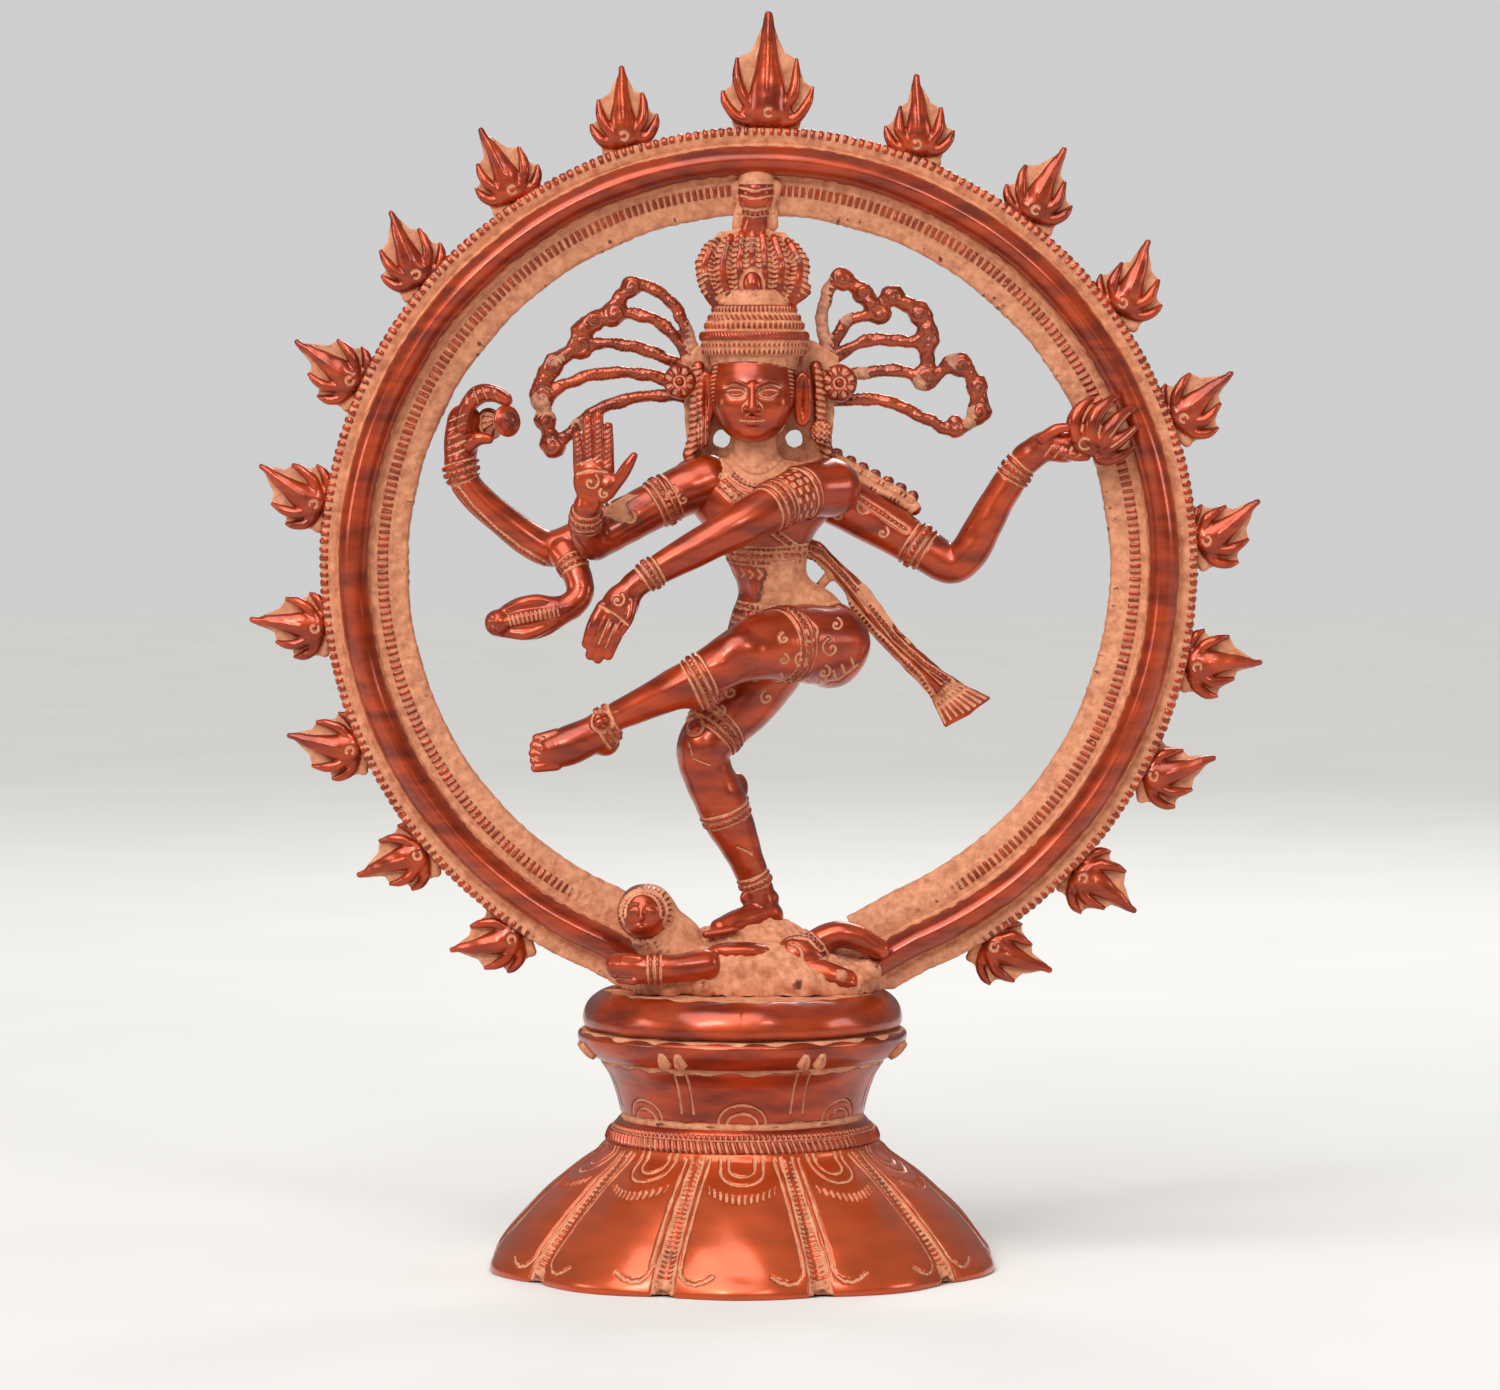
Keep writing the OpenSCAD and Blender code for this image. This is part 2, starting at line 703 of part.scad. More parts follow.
module raised_leg() {
    color(lacquer) on_plinth() difference() {
        raised_leg_shape();
        torso_shape();
    }
}

module standing_leg() {
    color(lacquer) on_plinth() difference() {
        standing_leg_shape();
        torso_shape();
        raised_leg_shape();
    }
}

lotus_skirt();
rope_collar();
waist_drum();
bead_lip();
cushion_plinth();
arch_bolts();
arch_washers();
arch_ring();
crest_flame();
left_flames();
right_flames();
rock_mound();
dwarf();
torso();
nape_plate();
head();
crown_fan();
crown_post();
left_hair();
right_hair();
ear_ornaments();
front_right_arm();
front_left_arm();
rear_right_arm();
rear_left_arm();
hand_drum();
hand_flame();
cobra();
scarf();
sash();
raised_leg();
standing_leg();
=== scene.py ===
import math

import bpy
import numpy as np
from mathutils import Euler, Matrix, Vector


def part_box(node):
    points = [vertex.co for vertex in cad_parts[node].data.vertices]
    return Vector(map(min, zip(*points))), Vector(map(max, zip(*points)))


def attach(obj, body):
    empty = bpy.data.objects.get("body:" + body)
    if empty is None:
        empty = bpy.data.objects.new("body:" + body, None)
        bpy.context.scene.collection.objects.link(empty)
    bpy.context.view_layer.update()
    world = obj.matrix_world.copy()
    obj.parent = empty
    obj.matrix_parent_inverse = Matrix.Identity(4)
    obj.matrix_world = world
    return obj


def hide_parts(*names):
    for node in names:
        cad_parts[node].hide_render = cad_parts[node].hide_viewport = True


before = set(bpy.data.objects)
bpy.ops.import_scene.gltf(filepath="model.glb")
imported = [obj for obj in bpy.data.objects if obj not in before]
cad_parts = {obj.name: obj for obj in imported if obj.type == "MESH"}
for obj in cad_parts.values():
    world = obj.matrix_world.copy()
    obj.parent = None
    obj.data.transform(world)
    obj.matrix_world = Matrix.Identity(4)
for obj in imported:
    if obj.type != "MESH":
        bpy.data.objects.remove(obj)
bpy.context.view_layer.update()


# ---- Camera, floor and studio light ----
# A long lens at table height looks straight at the statue from 1.8 m. The floor is a pale matt
# sweep. Two large soft boxes stand high beside the camera, with a strip on each side, one box behind
# the statue and a broad silk overhead.

camera = bpy.data.objects.new("camera", bpy.data.cameras.new("camera"))
bpy.context.collection.objects.link(camera)
camera.data.lens = 144
camera.data.sensor_width = 36
camera.location = (0.0, -1.8, 0.255)
aim = Vector((-0.0027, 0.0, 0.1716))
camera.rotation_euler = (aim - camera.location).to_track_quat("-Z", "Y").to_euler()
bpy.context.scene.camera = camera


def srgb(hex_code):
    """An sRGB hex colour as the linear RGBA that a shader takes."""
    parts = [int(hex_code[i:i + 2], 16) / 255 for i in (1, 3, 5)]
    return [c / 12.92 if c <= 0.04045 else ((c + 0.055) / 1.055) ** 2.4 for c in parts] + [1.0]


def node(tree, kind, inputs=None, **settings):
    """Adds a shader node, sets its properties, and sets or links its inputs."""
    made = tree.nodes.new("ShaderNode" + kind)
    for key, value in settings.items():
        setattr(made, key, value)
    for key, value in (inputs or {}).items():
        if isinstance(value, bpy.types.NodeSocket):
            tree.links.new(value, made.inputs[key])
        else:
            made.inputs[key].default_value = value
    return made


def new_material(name):
    """An empty node material with a Principled shader on its output."""
    material = bpy.data.materials.new(name)
    material.use_nodes = True
    material.node_tree.nodes.clear()
    shader = node(material.node_tree, "BsdfPrincipled")
    node(material.node_tree, "OutputMaterial", {"Surface": shader.outputs["BSDF"]})
    return material, material.node_tree, shader


def mixed(tree, factor, a, b, kind="RGBA"):
    """Two colours, or with kind "FLOAT" two values, mixed by a factor."""
    return node(tree, "Mix", {"Factor": factor, "A": a, "B": b}, data_type=kind).outputs["Result"]


def noise(tree, place, size, **inputs):
    """Noise with features of about the given size in millimetres."""
    return node(tree, "TexNoise", {"Vector": place, "Scale": 1000 / size, **inputs}).outputs["Fac"]


def fitted(tree, value, low, high, kind="LINEAR", **inputs):
    """A value stretched so that low to high becomes 0 to 1, or To Min to To Max."""
    return node(tree, "MapRange", {"Value": value, "From Min": low, "From Max": high, **inputs},
        interpolation_type=kind).outputs[0]


# Matt painted board: very even, with a faint cloudiness of about 150 mm
floor_paint, tree, shader = new_material("matt_floor_paint")
cloud = noise(tree, node(tree, "TexCoord").outputs["Object"], 150)
tree.links.new(mixed(tree, cloud, srgb("#dcdad6"), srgb("#e4e2de")), shader.inputs["Base Color"])
shader.inputs["Roughness"].default_value = 0.85

floor_mesh = bpy.data.meshes.new("floor")
floor_reach = 6.0
floor_mesh.from_pydata([(x * floor_reach, y * floor_reach, 0)
    for x, y in ((-1, -1), (1, -1), (1, 1), (-1, 1))], [], [(0, 1, 2, 3)])
floor_mesh.materials.append(floor_paint)
floor = bpy.data.objects.new("floor", floor_mesh)
bpy.context.collection.objects.link(floor)

soft_boxes = (
    # name, place, size of the box, power in watts
    ("key_box", (-0.7, -1.6, 1.1), 0.42, 9),
    ("second_key_box", (0.6, -1.7, 1.15), 0.36, 6),
    ("left_strip", (-1.4, -0.4, 0.5), 0.35, 2.5),
    ("right_strip", (1.4, -0.3, 0.5), 0.35, 2.5),
    ("back_box", (0.3, 1.5, 1.3), 0.6, 9),
)
for name, spot, size, watts in soft_boxes:
    lamp = bpy.data.lights.new(name, "AREA")
    lamp.size = size
    lamp.energy = watts
    box = bpy.data.objects.new(name, lamp)
    box.location = spot
    box.rotation_euler = (Vector((0, 0, 0.18)) - box.location).to_track_quat("-Z", "Y").to_euler()
    bpy.context.collection.objects.link(box)

sun = bpy.data.lights.new("overhead_silk", "SUN")
sun.energy = 2.1
sun.angle = math.radians(50)
silk = bpy.data.objects.new("overhead_silk", sun)
silk.rotation_euler = Vector((0.35, 0.75, -1.0)).to_track_quat("-Z", "Y").to_euler()
bpy.context.collection.objects.link(silk)

# The room is pale above and dimmer toward the horizon, so that the metal shows dark edges
world = bpy.data.worlds.new("studio")
bpy.context.scene.world = world
world.use_nodes = True
sky = world.node_tree
way = node(sky, "TexCoord").outputs["Generated"]
height = node(sky, "SeparateXYZ", {"Vector": way}).outputs["Z"]
rise = fitted(sky, height, 0.0, 0.9, **{"To Min": 0.16, "To Max": 0.5})
seen = node(sky, "LightPath").outputs["Is Camera Ray"]
camera_level = 0.7
level = mixed(sky, seen, rise, camera_level, "FLOAT")
sky.nodes["Background"].inputs["Color"].default_value = srgb("#f1f2f1")
sky.links.new(level, sky.nodes["Background"].inputs["Strength"])
bpy.context.scene.view_settings.view_transform = "Standard"


# ---- Lotus skirt ----
# The bell-shaped bottom of the pedestal, a hollow sand casting in brass. Ten petals hang round it
# with their outlines, hooks and rows of ticks cut in by a chisel, and the rim is left in shallow
# scallops that turn outward at each petal.

def maths(tree, operation, a, b):
    """The sum, difference or product of two values."""
    return node(tree, "Math", {0: a, 1: b}, operation=operation).outputs[0]


def cast_brass(name, lacquer, shadowed_lacquer, patina, deep_patina, gloss=0.26):
    """Cast brass under a transparent copper-red lacquer, burnished where the surface stands proud and
    left with a matt earthy patina in its hollows. The attribute "polish" is 1 on the burnished
    surface and 0 in the hollows. The edge between the two gets a dark line, partly worn dark lacquer
    and partly painted shade of the crevices and edges there."""
    material, tree, shader = new_material(name)
    place = node(tree, "TexCoord").outputs["Object"]
    polish = node(tree, "Attribute", attribute_name="polish").outputs["Fac"]
    # Ragged edge of the patina, about 1.2 mm
    ragged = noise(tree, place, 1.2, Detail=4.0, Roughness=0.65)
    offset = maths(tree, "SUBTRACT", ragged, 0.5)
    worn = maths(tree, "ADD", polish, maths(tree, "MULTIPLY", offset, 0.5))
    shiny = fitted(tree, worn, 0.42, 0.6, "SMOOTHSTEP")
    # The lacquer is mixed at random, in level streaks of about 16 mm, with a darker copy of itself that is
    # its colour in shadow: partly random tone, partly painted shade. The patina varies over 3 mm
    flattened = node(tree, "Mapping", {"Vector": place, "Scale": (1.0, 1.0, 3.5)}).outputs[0]
    lacquer_and_shade_streaks = fitted(tree, noise(tree, flattened, 16, Detail=5.0), 0.36, 0.66)
    red = mixed(tree, lacquer_and_shade_streaks, srgb(lacquer), srgb(shadowed_lacquer))
    earthy = fitted(tree, noise(tree, place, 3, Detail=6.0, Roughness=0.7), 0.38, 0.66)
    tan = mixed(tree, earthy, srgb(patina), srgb(deep_patina))
    # Dark line, #4f1109, along the edge of the patina: partly worn dark lacquer, partly painted shade of the
    # crevices and edges there
    edge = fitted(tree, worn, 0.36, 0.5, "SMOOTHSTEP")
    edge_end = fitted(tree, worn, 0.5, 0.68, "SMOOTHSTEP", **{"To Min": 1.0, "To Max": 0.0})
    line = maths(tree, "MULTIPLY", maths(tree, "MULTIPLY", edge, edge_end), 0.85)
    with_wear_and_shade_line = mixed(tree, line, mixed(tree, shiny, tan, red), srgb("#4f1109"))
    tree.links.new(with_wear_and_shade_line, shader.inputs["Base Color"])
    metal_share = 0.62
    tree.links.new(maths(tree, "MULTIPLY", shiny, metal_share), shader.inputs["Metallic"])
    # Burnishing marks: fine streaks 0.5 mm apart that change the gloss
    streaks = noise(tree, place, 0.5, Detail=3.0)
    streaked = fitted(tree, streaks, 0.0, 1.0, **{"To Min": gloss, "To Max": gloss + 0.16})
    matt = 0.72
    tree.links.new(mixed(tree, shiny, matt, streaked, "FLOAT"), shader.inputs["Roughness"])
    coat_share = 0.5
    tree.links.new(maths(tree, "MULTIPLY", shiny, coat_share), shader.inputs["Coat Weight"])
    shader.inputs["Coat Roughness"].default_value = 0.16
    # Casting grain: pits of 0.6 mm in the patina, a faint 3 mm ripple under the lacquer
    grain = noise(tree, place, 0.6, Detail=5.0, Roughness=0.6)
    ripple = maths(tree, "MULTIPLY", noise(tree, place, 3.2, Detail=1.0), 0.16)
    height = mixed(tree, shiny, grain, ripple, "FLOAT")
    bump = node(tree, "Bump", {"Height": height, "Strength": 0.35, "Distance": 0.0004})
    tree.links.new(bump.outputs["Normal"], shader.inputs["Normal"])
    return material


# The second colour of each lacquer is its colour in shadow, painted in random streaks as shade
red_casting = cast_brass("lacquered_cast_brass", "#b63f0e", "#7c2508", "#d9936c", "#b06a48")
thin_red_casting = cast_brass("thinly_lacquered_cast_brass", "#c84e1a", "#b34614", "#d9936c", "#b06a48")


def add_piece(name, points, quads, polish, material, replaces, ends=()):
    """A closed mesh from points in millimetres and rows of four corners; ends are extra end faces."""
    mesh = bpy.data.meshes.new(name)
    mesh.vertices.add(len(points))
    mesh.vertices.foreach_set("co", (np.asarray(points, np.float32) / 1000).ravel())
    corners = [np.asarray(quads, np.int32).ravel()] + [np.asarray(e, np.int32) for e in ends]
    sizes = np.concatenate([np.full(len(quads), 4, np.int32), np.array([len(e) for e in ends], np.int32)])
    starts = np.concatenate([[0], np.cumsum(sizes)[:-1]]).astype(np.int32)
    mesh.loops.add(int(sizes.sum()))
    mesh.loops.foreach_set("vertex_index", np.concatenate(corners))
    mesh.polygons.add(len(sizes))
    mesh.polygons.foreach_set("loop_start", starts)
    mesh.update(calc_edges=True)
    mesh.validate()
    layer = mesh.attributes.new("polish", "FLOAT", "POINT")
    layer.data.foreach_set("value", np.clip(np.asarray(polish, np.float32), 0, 1).ravel())
    mesh.shade_smooth()
    mesh.materials.append(material)
    piece = bpy.data.objects.new(name, mesh)
    bpy.context.collection.objects.link(piece)
    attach(piece, "root")
    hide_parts(*replaces)


def smooth_line(points, step):
    """Points about step apart on a soft curve through the given ones."""
    p = np.array(points, float)
    p = np.vstack([2 * p[0] - p[1], p, 2 * p[-1] - p[-2]])
    run = []
    for a, b, c, d in zip(p[:-3], p[1:-2], p[2:-1], p[3:]):
        t = np.linspace(0, 1, max(2, int(np.linalg.norm(c - b) / step)), endpoint=False)[:, None]
        run.append(0.5 * (2 * b + (c - a) * t + (2 * a - 5 * b + 4 * c - d) * t ** 2
            + (3 * b - a - 3 * c + d) * t ** 3))
    return np.vstack(run + [p[-2:-1]])


def step_up(low, high, value):
    """0 below low, 1 above high, and a soft step between."""
    t = np.clip((value - low) / (high - low), 0, 1)
    return t * t * (3 - 2 * t)


def step_down(low, high, value):
    """1 below low, 0 above high, and a soft step between."""
    return 1 - step_up(low, high, value)


def unevenness(x, y, z, size, seed):
    """Hand-made unevenness between -1 and 1: crossed waves of about the given size."""
    rng = np.random.default_rng(seed)
    total = 0
    for _ in range(5):
        way = rng.normal(size=3)
        way *= 2 * math.pi / (size * rng.uniform(0.7, 1.6) * np.linalg.norm(way))
        total = total + np.sin(way[0] * x + way[1] * y + way[2] * z + rng.uniform(0, 6.28))
    return total / 3


def near_line(u, v, points):
    """Distance from each (u, v) to a line through the points."""
    best = np.full(np.broadcast(u, v).shape, 1e3)
    for (u0, v0), (u1, v1) in zip(points[:-1], points[1:]):
        du, dv = u1 - u0, v1 - v0
        t = np.clip(((u - u0) * du + (v - v0) * dv) / (du * du + dv * dv + 1e-9), 0, 1)
        best = np.minimum(best, np.hypot(u - u0 - t * du, v - v0 - t * dv))
    return best


def loop_quads(rows, columns, close_rows):
    """Corners of the faces between rows of points, each row closed round."""
    i = np.arange(rows if close_rows else rows - 1)[:, None]
    j = np.arange(columns)[None, :]
    k, m = (i + 1) % rows, (j + 1) % columns
    return np.stack([i * columns + j, i * columns + m, k * columns + m, k * columns + j],
        -1).reshape(-1, 4)


def turned_piece(name, outline, around, middle_x, relief, replaces, material=red_casting):
    """A closed outline of (radius, height) turned round an upright axis. relief gets the angle, the
    distance along the outline, the radius and the height, and gives the push outward and the polish."""
    outline = np.asarray(outline, float)
    rows = len(outline)
    angle = np.linspace(0, 2 * math.pi, around, endpoint=False)[None, :]
    r, z = outline[:, 0:1], outline[:, 1:2]
    run = np.concatenate([[0], np.cumsum(np.linalg.norm(np.diff(outline, axis=0), axis=1))])[:, None]
    before, after = np.roll(outline, 1, axis=0), np.roll(outline, -1, axis=0)
    along = after - before
    along /= np.linalg.norm(along, axis=1)[:, None] + 1e-9
    out_r, out_z = along[:, 1:2], -along[:, 0:1]
    push, polish = relief(angle, run, r, z)
    push = np.broadcast_to(push, (rows, around))
    rr = r + out_r * push
    zz = z + out_z * push
    # Angle 0 looks toward the front, -Y
    points = np.stack([middle_x + rr * np.sin(angle), -rr * np.cos(angle), np.maximum(zz, 0) + 0 * angle],
        -1)
    add_piece(name, points.reshape(-1, 3), loop_quads(rows, around, True),
        np.broadcast_to(polish, (rows, around)).ravel(), material, replaces)


def length_of(line):
    """How long a line of points is."""
    return np.linalg.norm(np.diff(line, axis=0), axis=1).sum()


def box_mm(name):
    """Lowest and highest corner of a CAD node, in millimetres."""
    low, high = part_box(name)
    return np.array(low) * 1000, np.array(high) * 1000


skirt_low, skirt_high = box_mm("lotus_skirt")
pedestal_x = (skirt_low[0] + skirt_high[0]) / 2
rim_r = (skirt_high[0] - skirt_low[0]) / 2
skirt_h = skirt_high[2]
petals = 10
neck_r = 41.0
outer_line = smooth_line([(rim_r - 0.7, 0.0), (rim_r - 0.5, 1.3), (rim_r - 2.8, 5.0), (rim_r - 8.7, 12.0),
    (rim_r - 17.2, 20.6), (rim_r - 24.9, 28.2), (rim_r - 31.0, 34.0), (neck_r, skirt_h)], 0.42)
inner_line = smooth_line([(29.0, skirt_h), (29.0, skirt_h - 3.4), (neck_r - 2, skirt_h - 3.6),
    (rim_r - 30.0, 28.0), (rim_r - 22.4, 20.4), (rim_r - 14.0, 12.0), (rim_r - 7.2, 5.0),
    (rim_r - 4.8, 0.0)], 1.6)
outer_length = length_of(outer_line)


def skirt_relief(angle, run, r, z):
    """Petals pushed out between the ladder strips, with the chiselled lines sunk into them."""
    outside = (run <= outer_length + 0.2) * 1.0
    up = np.clip(run / outer_length, 0, 1)
    petal = 2 * math.pi / petals
    off = (angle + petal / 2) % petal - petal / 2
    u = off * r
    v = run
    half = petal / 2 * r
    strip = 1.9 + 1.5 * (1 - up) ** 2
    bulge = 2.4 * (1 - (np.abs(u) / half) ** 2.6) * (1 - np.abs(2 * up - 0.75) ** 2.2) + 0.3
    valley = -2.1 * step_down(0, 3.6, half - np.abs(u)) * (1 - up) ** 2
    gap = 0.5
    side = half - strip - 1.2
    outline = np.abs(np.abs(u) - side * (0.985 - 0.05 * up))
    outline = np.where((v > 9) & (up < 0.97), outline, 9)
    # Hook at the lower end of each outline, turning in under the petal
    foot_r = rim_r - 3
    side_foot = petal / 2 * foot_r - 1.9 - 1.4 - 1.2
    hook = near_line(np.abs(u), v, [(side_foot * 0.985, 9.5), (side_foot * 0.97, 6.5),
        (side_foot * 0.88, 4.4), (side_foot * 0.74, 3.8), (side_foot * 0.58, 4.6),
        (side_foot * 0.46, 6.0)])
    ladder = np.abs(np.abs(u) - (half - strip + 0.1))
    ladder = np.where(up < 0.98, ladder, 9)
    rung_pitch = 1.7
    rungs = np.abs((v % rung_pitch) - rung_pitch / 2)
    rungs = np.where((np.abs(u) > half - strip + 0.2) & (np.abs(u) < half - 0.5) & (up < 0.95),
        rungs + 0.05, 9)
    arc_top = outer_length - 0.2
    loops = np.full(np.broadcast(u, v).shape, 9.0)
    for wide, deep in ((3.9, 8.5), (6.3, 12.5)):
        cy = arc_top - deep + wide
        bowl = np.where(v < cy, np.abs(np.hypot(u, v - cy) - wide), np.abs(np.abs(u) - wide))
        loops = np.minimum(loops, np.where(v < arc_top, bowl, 9))
    # Row of ticks hanging in a shallow curve below the loops
    tick_pitch = 1.75
    tick_v = arc_top - 18.6 + 0.085 * u * u * 0.55
    tick = np.abs((u + 40 * tick_pitch) % tick_pitch - tick_pitch / 2)
    tick = np.where((np.abs(v - tick_v) < 1.5) & (np.abs(u) < 9.6), tick + 0.05, 9)
    nearest = np.minimum.reduce([outline + 0 * v, hook, ladder + 0 * v, rungs + 0 * v, loops,
        tick + 0 * v])
    wobble = 0.12 * unevenness(u * 1.0, v * 1.0, angle * 40, 7, 3)
    cut = step_down(0.3, 0.62, nearest + wobble)
    rough = unevenness(r * np.sin(angle), r * np.cos(angle), z, 14, 5) * 0.18
    push = outside * (bulge + valley + rough - gap * cut) * step_up(0.0, 3.0, outer_length - v)
    # Scallops: the rim lifts between the petals and turns out at each of them
    low_edge = step_down(0, 7, v) * outside
    push = push + low_edge * (1.0 * np.cos(off * petals) + 0.1)
    worn = unevenness(angle * 60, v, r, 9, 7)
    past_petal = np.abs(u) - (half - strip * (1.2 - v / 12))
    foot_patina = step_up(0, 1.2, past_petal) * step_down(4, 9, v + 2 * worn)
    seam = 0.42 * step_up(0, 0.8, np.abs(u) - (half - strip)) * step_up(-0.2, 0.7, worn)
    base = 1.0 - np.maximum(0.9 * foot_patina, seam)
    polish = np.where(outside > 0, np.minimum(base, 1 - 0.95 * cut), 0.12)
    inside_rough = (1 - outside) * unevenness(r * np.sin(angle), r * np.cos(angle), z, 6, 9) * 0.25
    return push + inside_rough, polish


turned_piece("lotus_skirt_casting", np.vstack([outer_line, inner_line]), 1260, pedestal_x, skirt_relief,
    ["lotus_skirt"], thin_red_casting)


# ---- Rope collar ----
# The ring cast on top of the skirt where the pedestal is narrowest. A row of slanted cuts gives it
# the look of twisted rope, and a row of punched dots runs above it.

collar_low, collar_high = box_mm("rope_collar")
collar_top = collar_high[2]
collar_foot_r = (collar_high[0] - collar_low[0]) / 2 - 0.4
collar_line = smooth_line([(collar_foot_r, skirt_h - 0.6), (collar_foot_r + 0.3, skirt_h + 1.0),
    (collar_foot_r - 0.8, skirt_h + 3.6), (collar_foot_r - 2.0, skirt_h + 4.6),
    (collar_foot_r - 2.6, skirt_h + 5.6), (collar_foot_r - 3.4, collar_top)], 0.22)
collar_inside = smooth_line([(26.8, collar_top), (26.8, skirt_h + 2), (29.5, skirt_h - 0.6)], 1.5)
collar_length = length_of(collar_line)


def collar_relief(angle, run, r, z):
    """Slanted rope cuts on the lower half, punched dots above, and two border grooves."""
    outside = (run <= collar_length + 0.1) * 1.0
    around = angle * 40
    middle = 2.6
    rope = np.cos((around + (run - middle) * 0.3) * 2 * math.pi / 2.1)
    on_rope = step_down(1.5, 2.2, np.abs(run - middle))
    dots = np.cos(around * 2 * math.pi / 1.7) * np.cos((run - 5.9) * 1.6)
    on_dots = step_down(0.7, 1.1, np.abs(run - 5.9))
    grooves = step_down(0.15, 0.5, np.minimum(np.abs(run - 4.85), np.abs(run - 0.45)))
    uneven = 0.25 * unevenness(around, run, z, 9, 21)
    push = outside * (0.5 * rope * on_rope + 0.35 * dots * on_dots - 0.35 * grooves + 0.3 * uneven)
    pale = np.maximum.reduce([step_down(-0.55, -0.05, rope + uneven) * on_rope,
        step_up(0.2, 0.6, dots) * on_dots, 0.8 * grooves + 0 * dots])
    return push, outside * (0.86 - 0.78 * pale) + 0.1


turned_piece("rope_collar_casting", np.vstack([collar_line, collar_inside]), 960, pedestal_x,
    collar_relief, ["rope_collar"])


# ---- Waist drum ----
# The flared drum above the collar, turned smooth on a lathe and lacquered. Seven panels are chased
# round it: a pair of upright lines between them and a small arch at the foot of each.

drum_low, drum_high = box_mm("waist_drum")
lip_low, lip_high = box_mm("bead_lip")
drum_top = drum_high[2]
drum_top_r = (drum_high[0] - drum_low[0]) / 2
drum_line = smooth_line([(collar_foot_r - 4.2, collar_top - 0.5), (collar_foot_r - 4.0, collar_top + 1.5),
    (collar_foot_r - 2.8, collar_top + 7), (collar_foot_r - 0.6, collar_top + 13),
    (drum_top_r - 0.4, drum_top - 1.5), (drum_top_r, drum_top)], 0.3)
drum_inside = smooth_line([(37.0, drum_top), (36.2, drum_top - 3), (31.5, collar_top + 8),
    (30.0, collar_top - 0.5)], 1.8)
drum_length = length_of(drum_line)
panels = 7


def drum_relief(angle, run, r, z):
    """Paired upright lines between the panels and a double arch at the foot of each one."""
    outside = (run <= drum_length + 0.1) * 1.0
    panel = 2 * math.pi / panels
    off = (angle + panel / 2) % panel - panel / 2
    u = off * r
    v = run
    edge = panel / 2 * r
    side_lines = np.abs(np.abs(u) - edge + 2.0) + 0 * v
    side_lines = np.where((v > 5) & (v < drum_length - 1.2), side_lines, 9)
    arch = np.full(np.broadcast(u, v).shape, 9.0)
    for wide, tall in ((7.0, 8.3), (4.6, 5.6)):
        spring = tall - wide * 0.75
        bow = np.abs(np.hypot(u, (v - spring) / 0.75) - wide) * 0.85
        arch = np.minimum(arch, np.where(v > spring, bow, np.abs(np.abs(u) - wide) + (v < 2.4) * 9))
    border = np.abs(v - 2.1 - 0.15 * unevenness(u, v, angle * 30, 9, 31))
    nearest = np.minimum.reduce([side_lines + 0 * v, arch, border + 0 * u])
    wobble = 0.12 * unevenness(angle * 40, v, z, 6, 33)
    cut = step_down(0.24, 0.55, nearest + wobble)
    turning = 0.03 * np.sin(v * 9) + 0.1 * unevenness(r * np.sin(angle), r * np.cos(angle), z, 18, 35)
    push = outside * (turning - 0.5 * cut)
    worn = unevenness(angle * 40, v * 1.4, z, 8, 37)
    foot_patina = step_down(1.0, 3.4, v + 0.9 * worn) * 0.9
    head_patina = step_up(drum_length - 2.6, drum_length - 0.8, v + 0.8 * worn) * 0.85
    polish = 1 - np.maximum(np.maximum(0.95 * cut, foot_patina), head_patina)
    return push, np.where(outside > 0, polish, 0.1)


turned_piece("waist_drum_casting", np.vstack([drum_line, drum_inside]), 960, pedestal_x, drum_relief,
    ["waist_drum"])


# ---- Bead lip ----
# The half-round moulding that overhangs the drum, turned and lacquered like it. Seven pairs of
# small leaves are cast on its face, above the upright lines of the drum.

lip_top = lip_high[2]
lip_r = (lip_high[0] - lip_low[0]) / 2
lip_line = smooth_line([(drum_top_r - 0.6, drum_top - 0.4), (drum_top_r + 1.4, drum_top + 0.1),
    (lip_r - 2.6, drum_top + 1.7), (lip_r - 0.6, drum_top + 4.2), (lip_r + 0.1, drum_top + 6.4),
    (lip_r - 0.4, lip_top - 1.2), (lip_r - 1.8, lip_top - 0.5), (lip_r - 3.4, lip_top - 0.6),
    (lip_r - 4.6, lip_top)], 0.28)
lip_inside = smooth_line([(36.0, lip_top), (36.0, drum_top + 3), (38.0, drum_top - 0.2)], 1.8)
lip_length = length_of(lip_line)


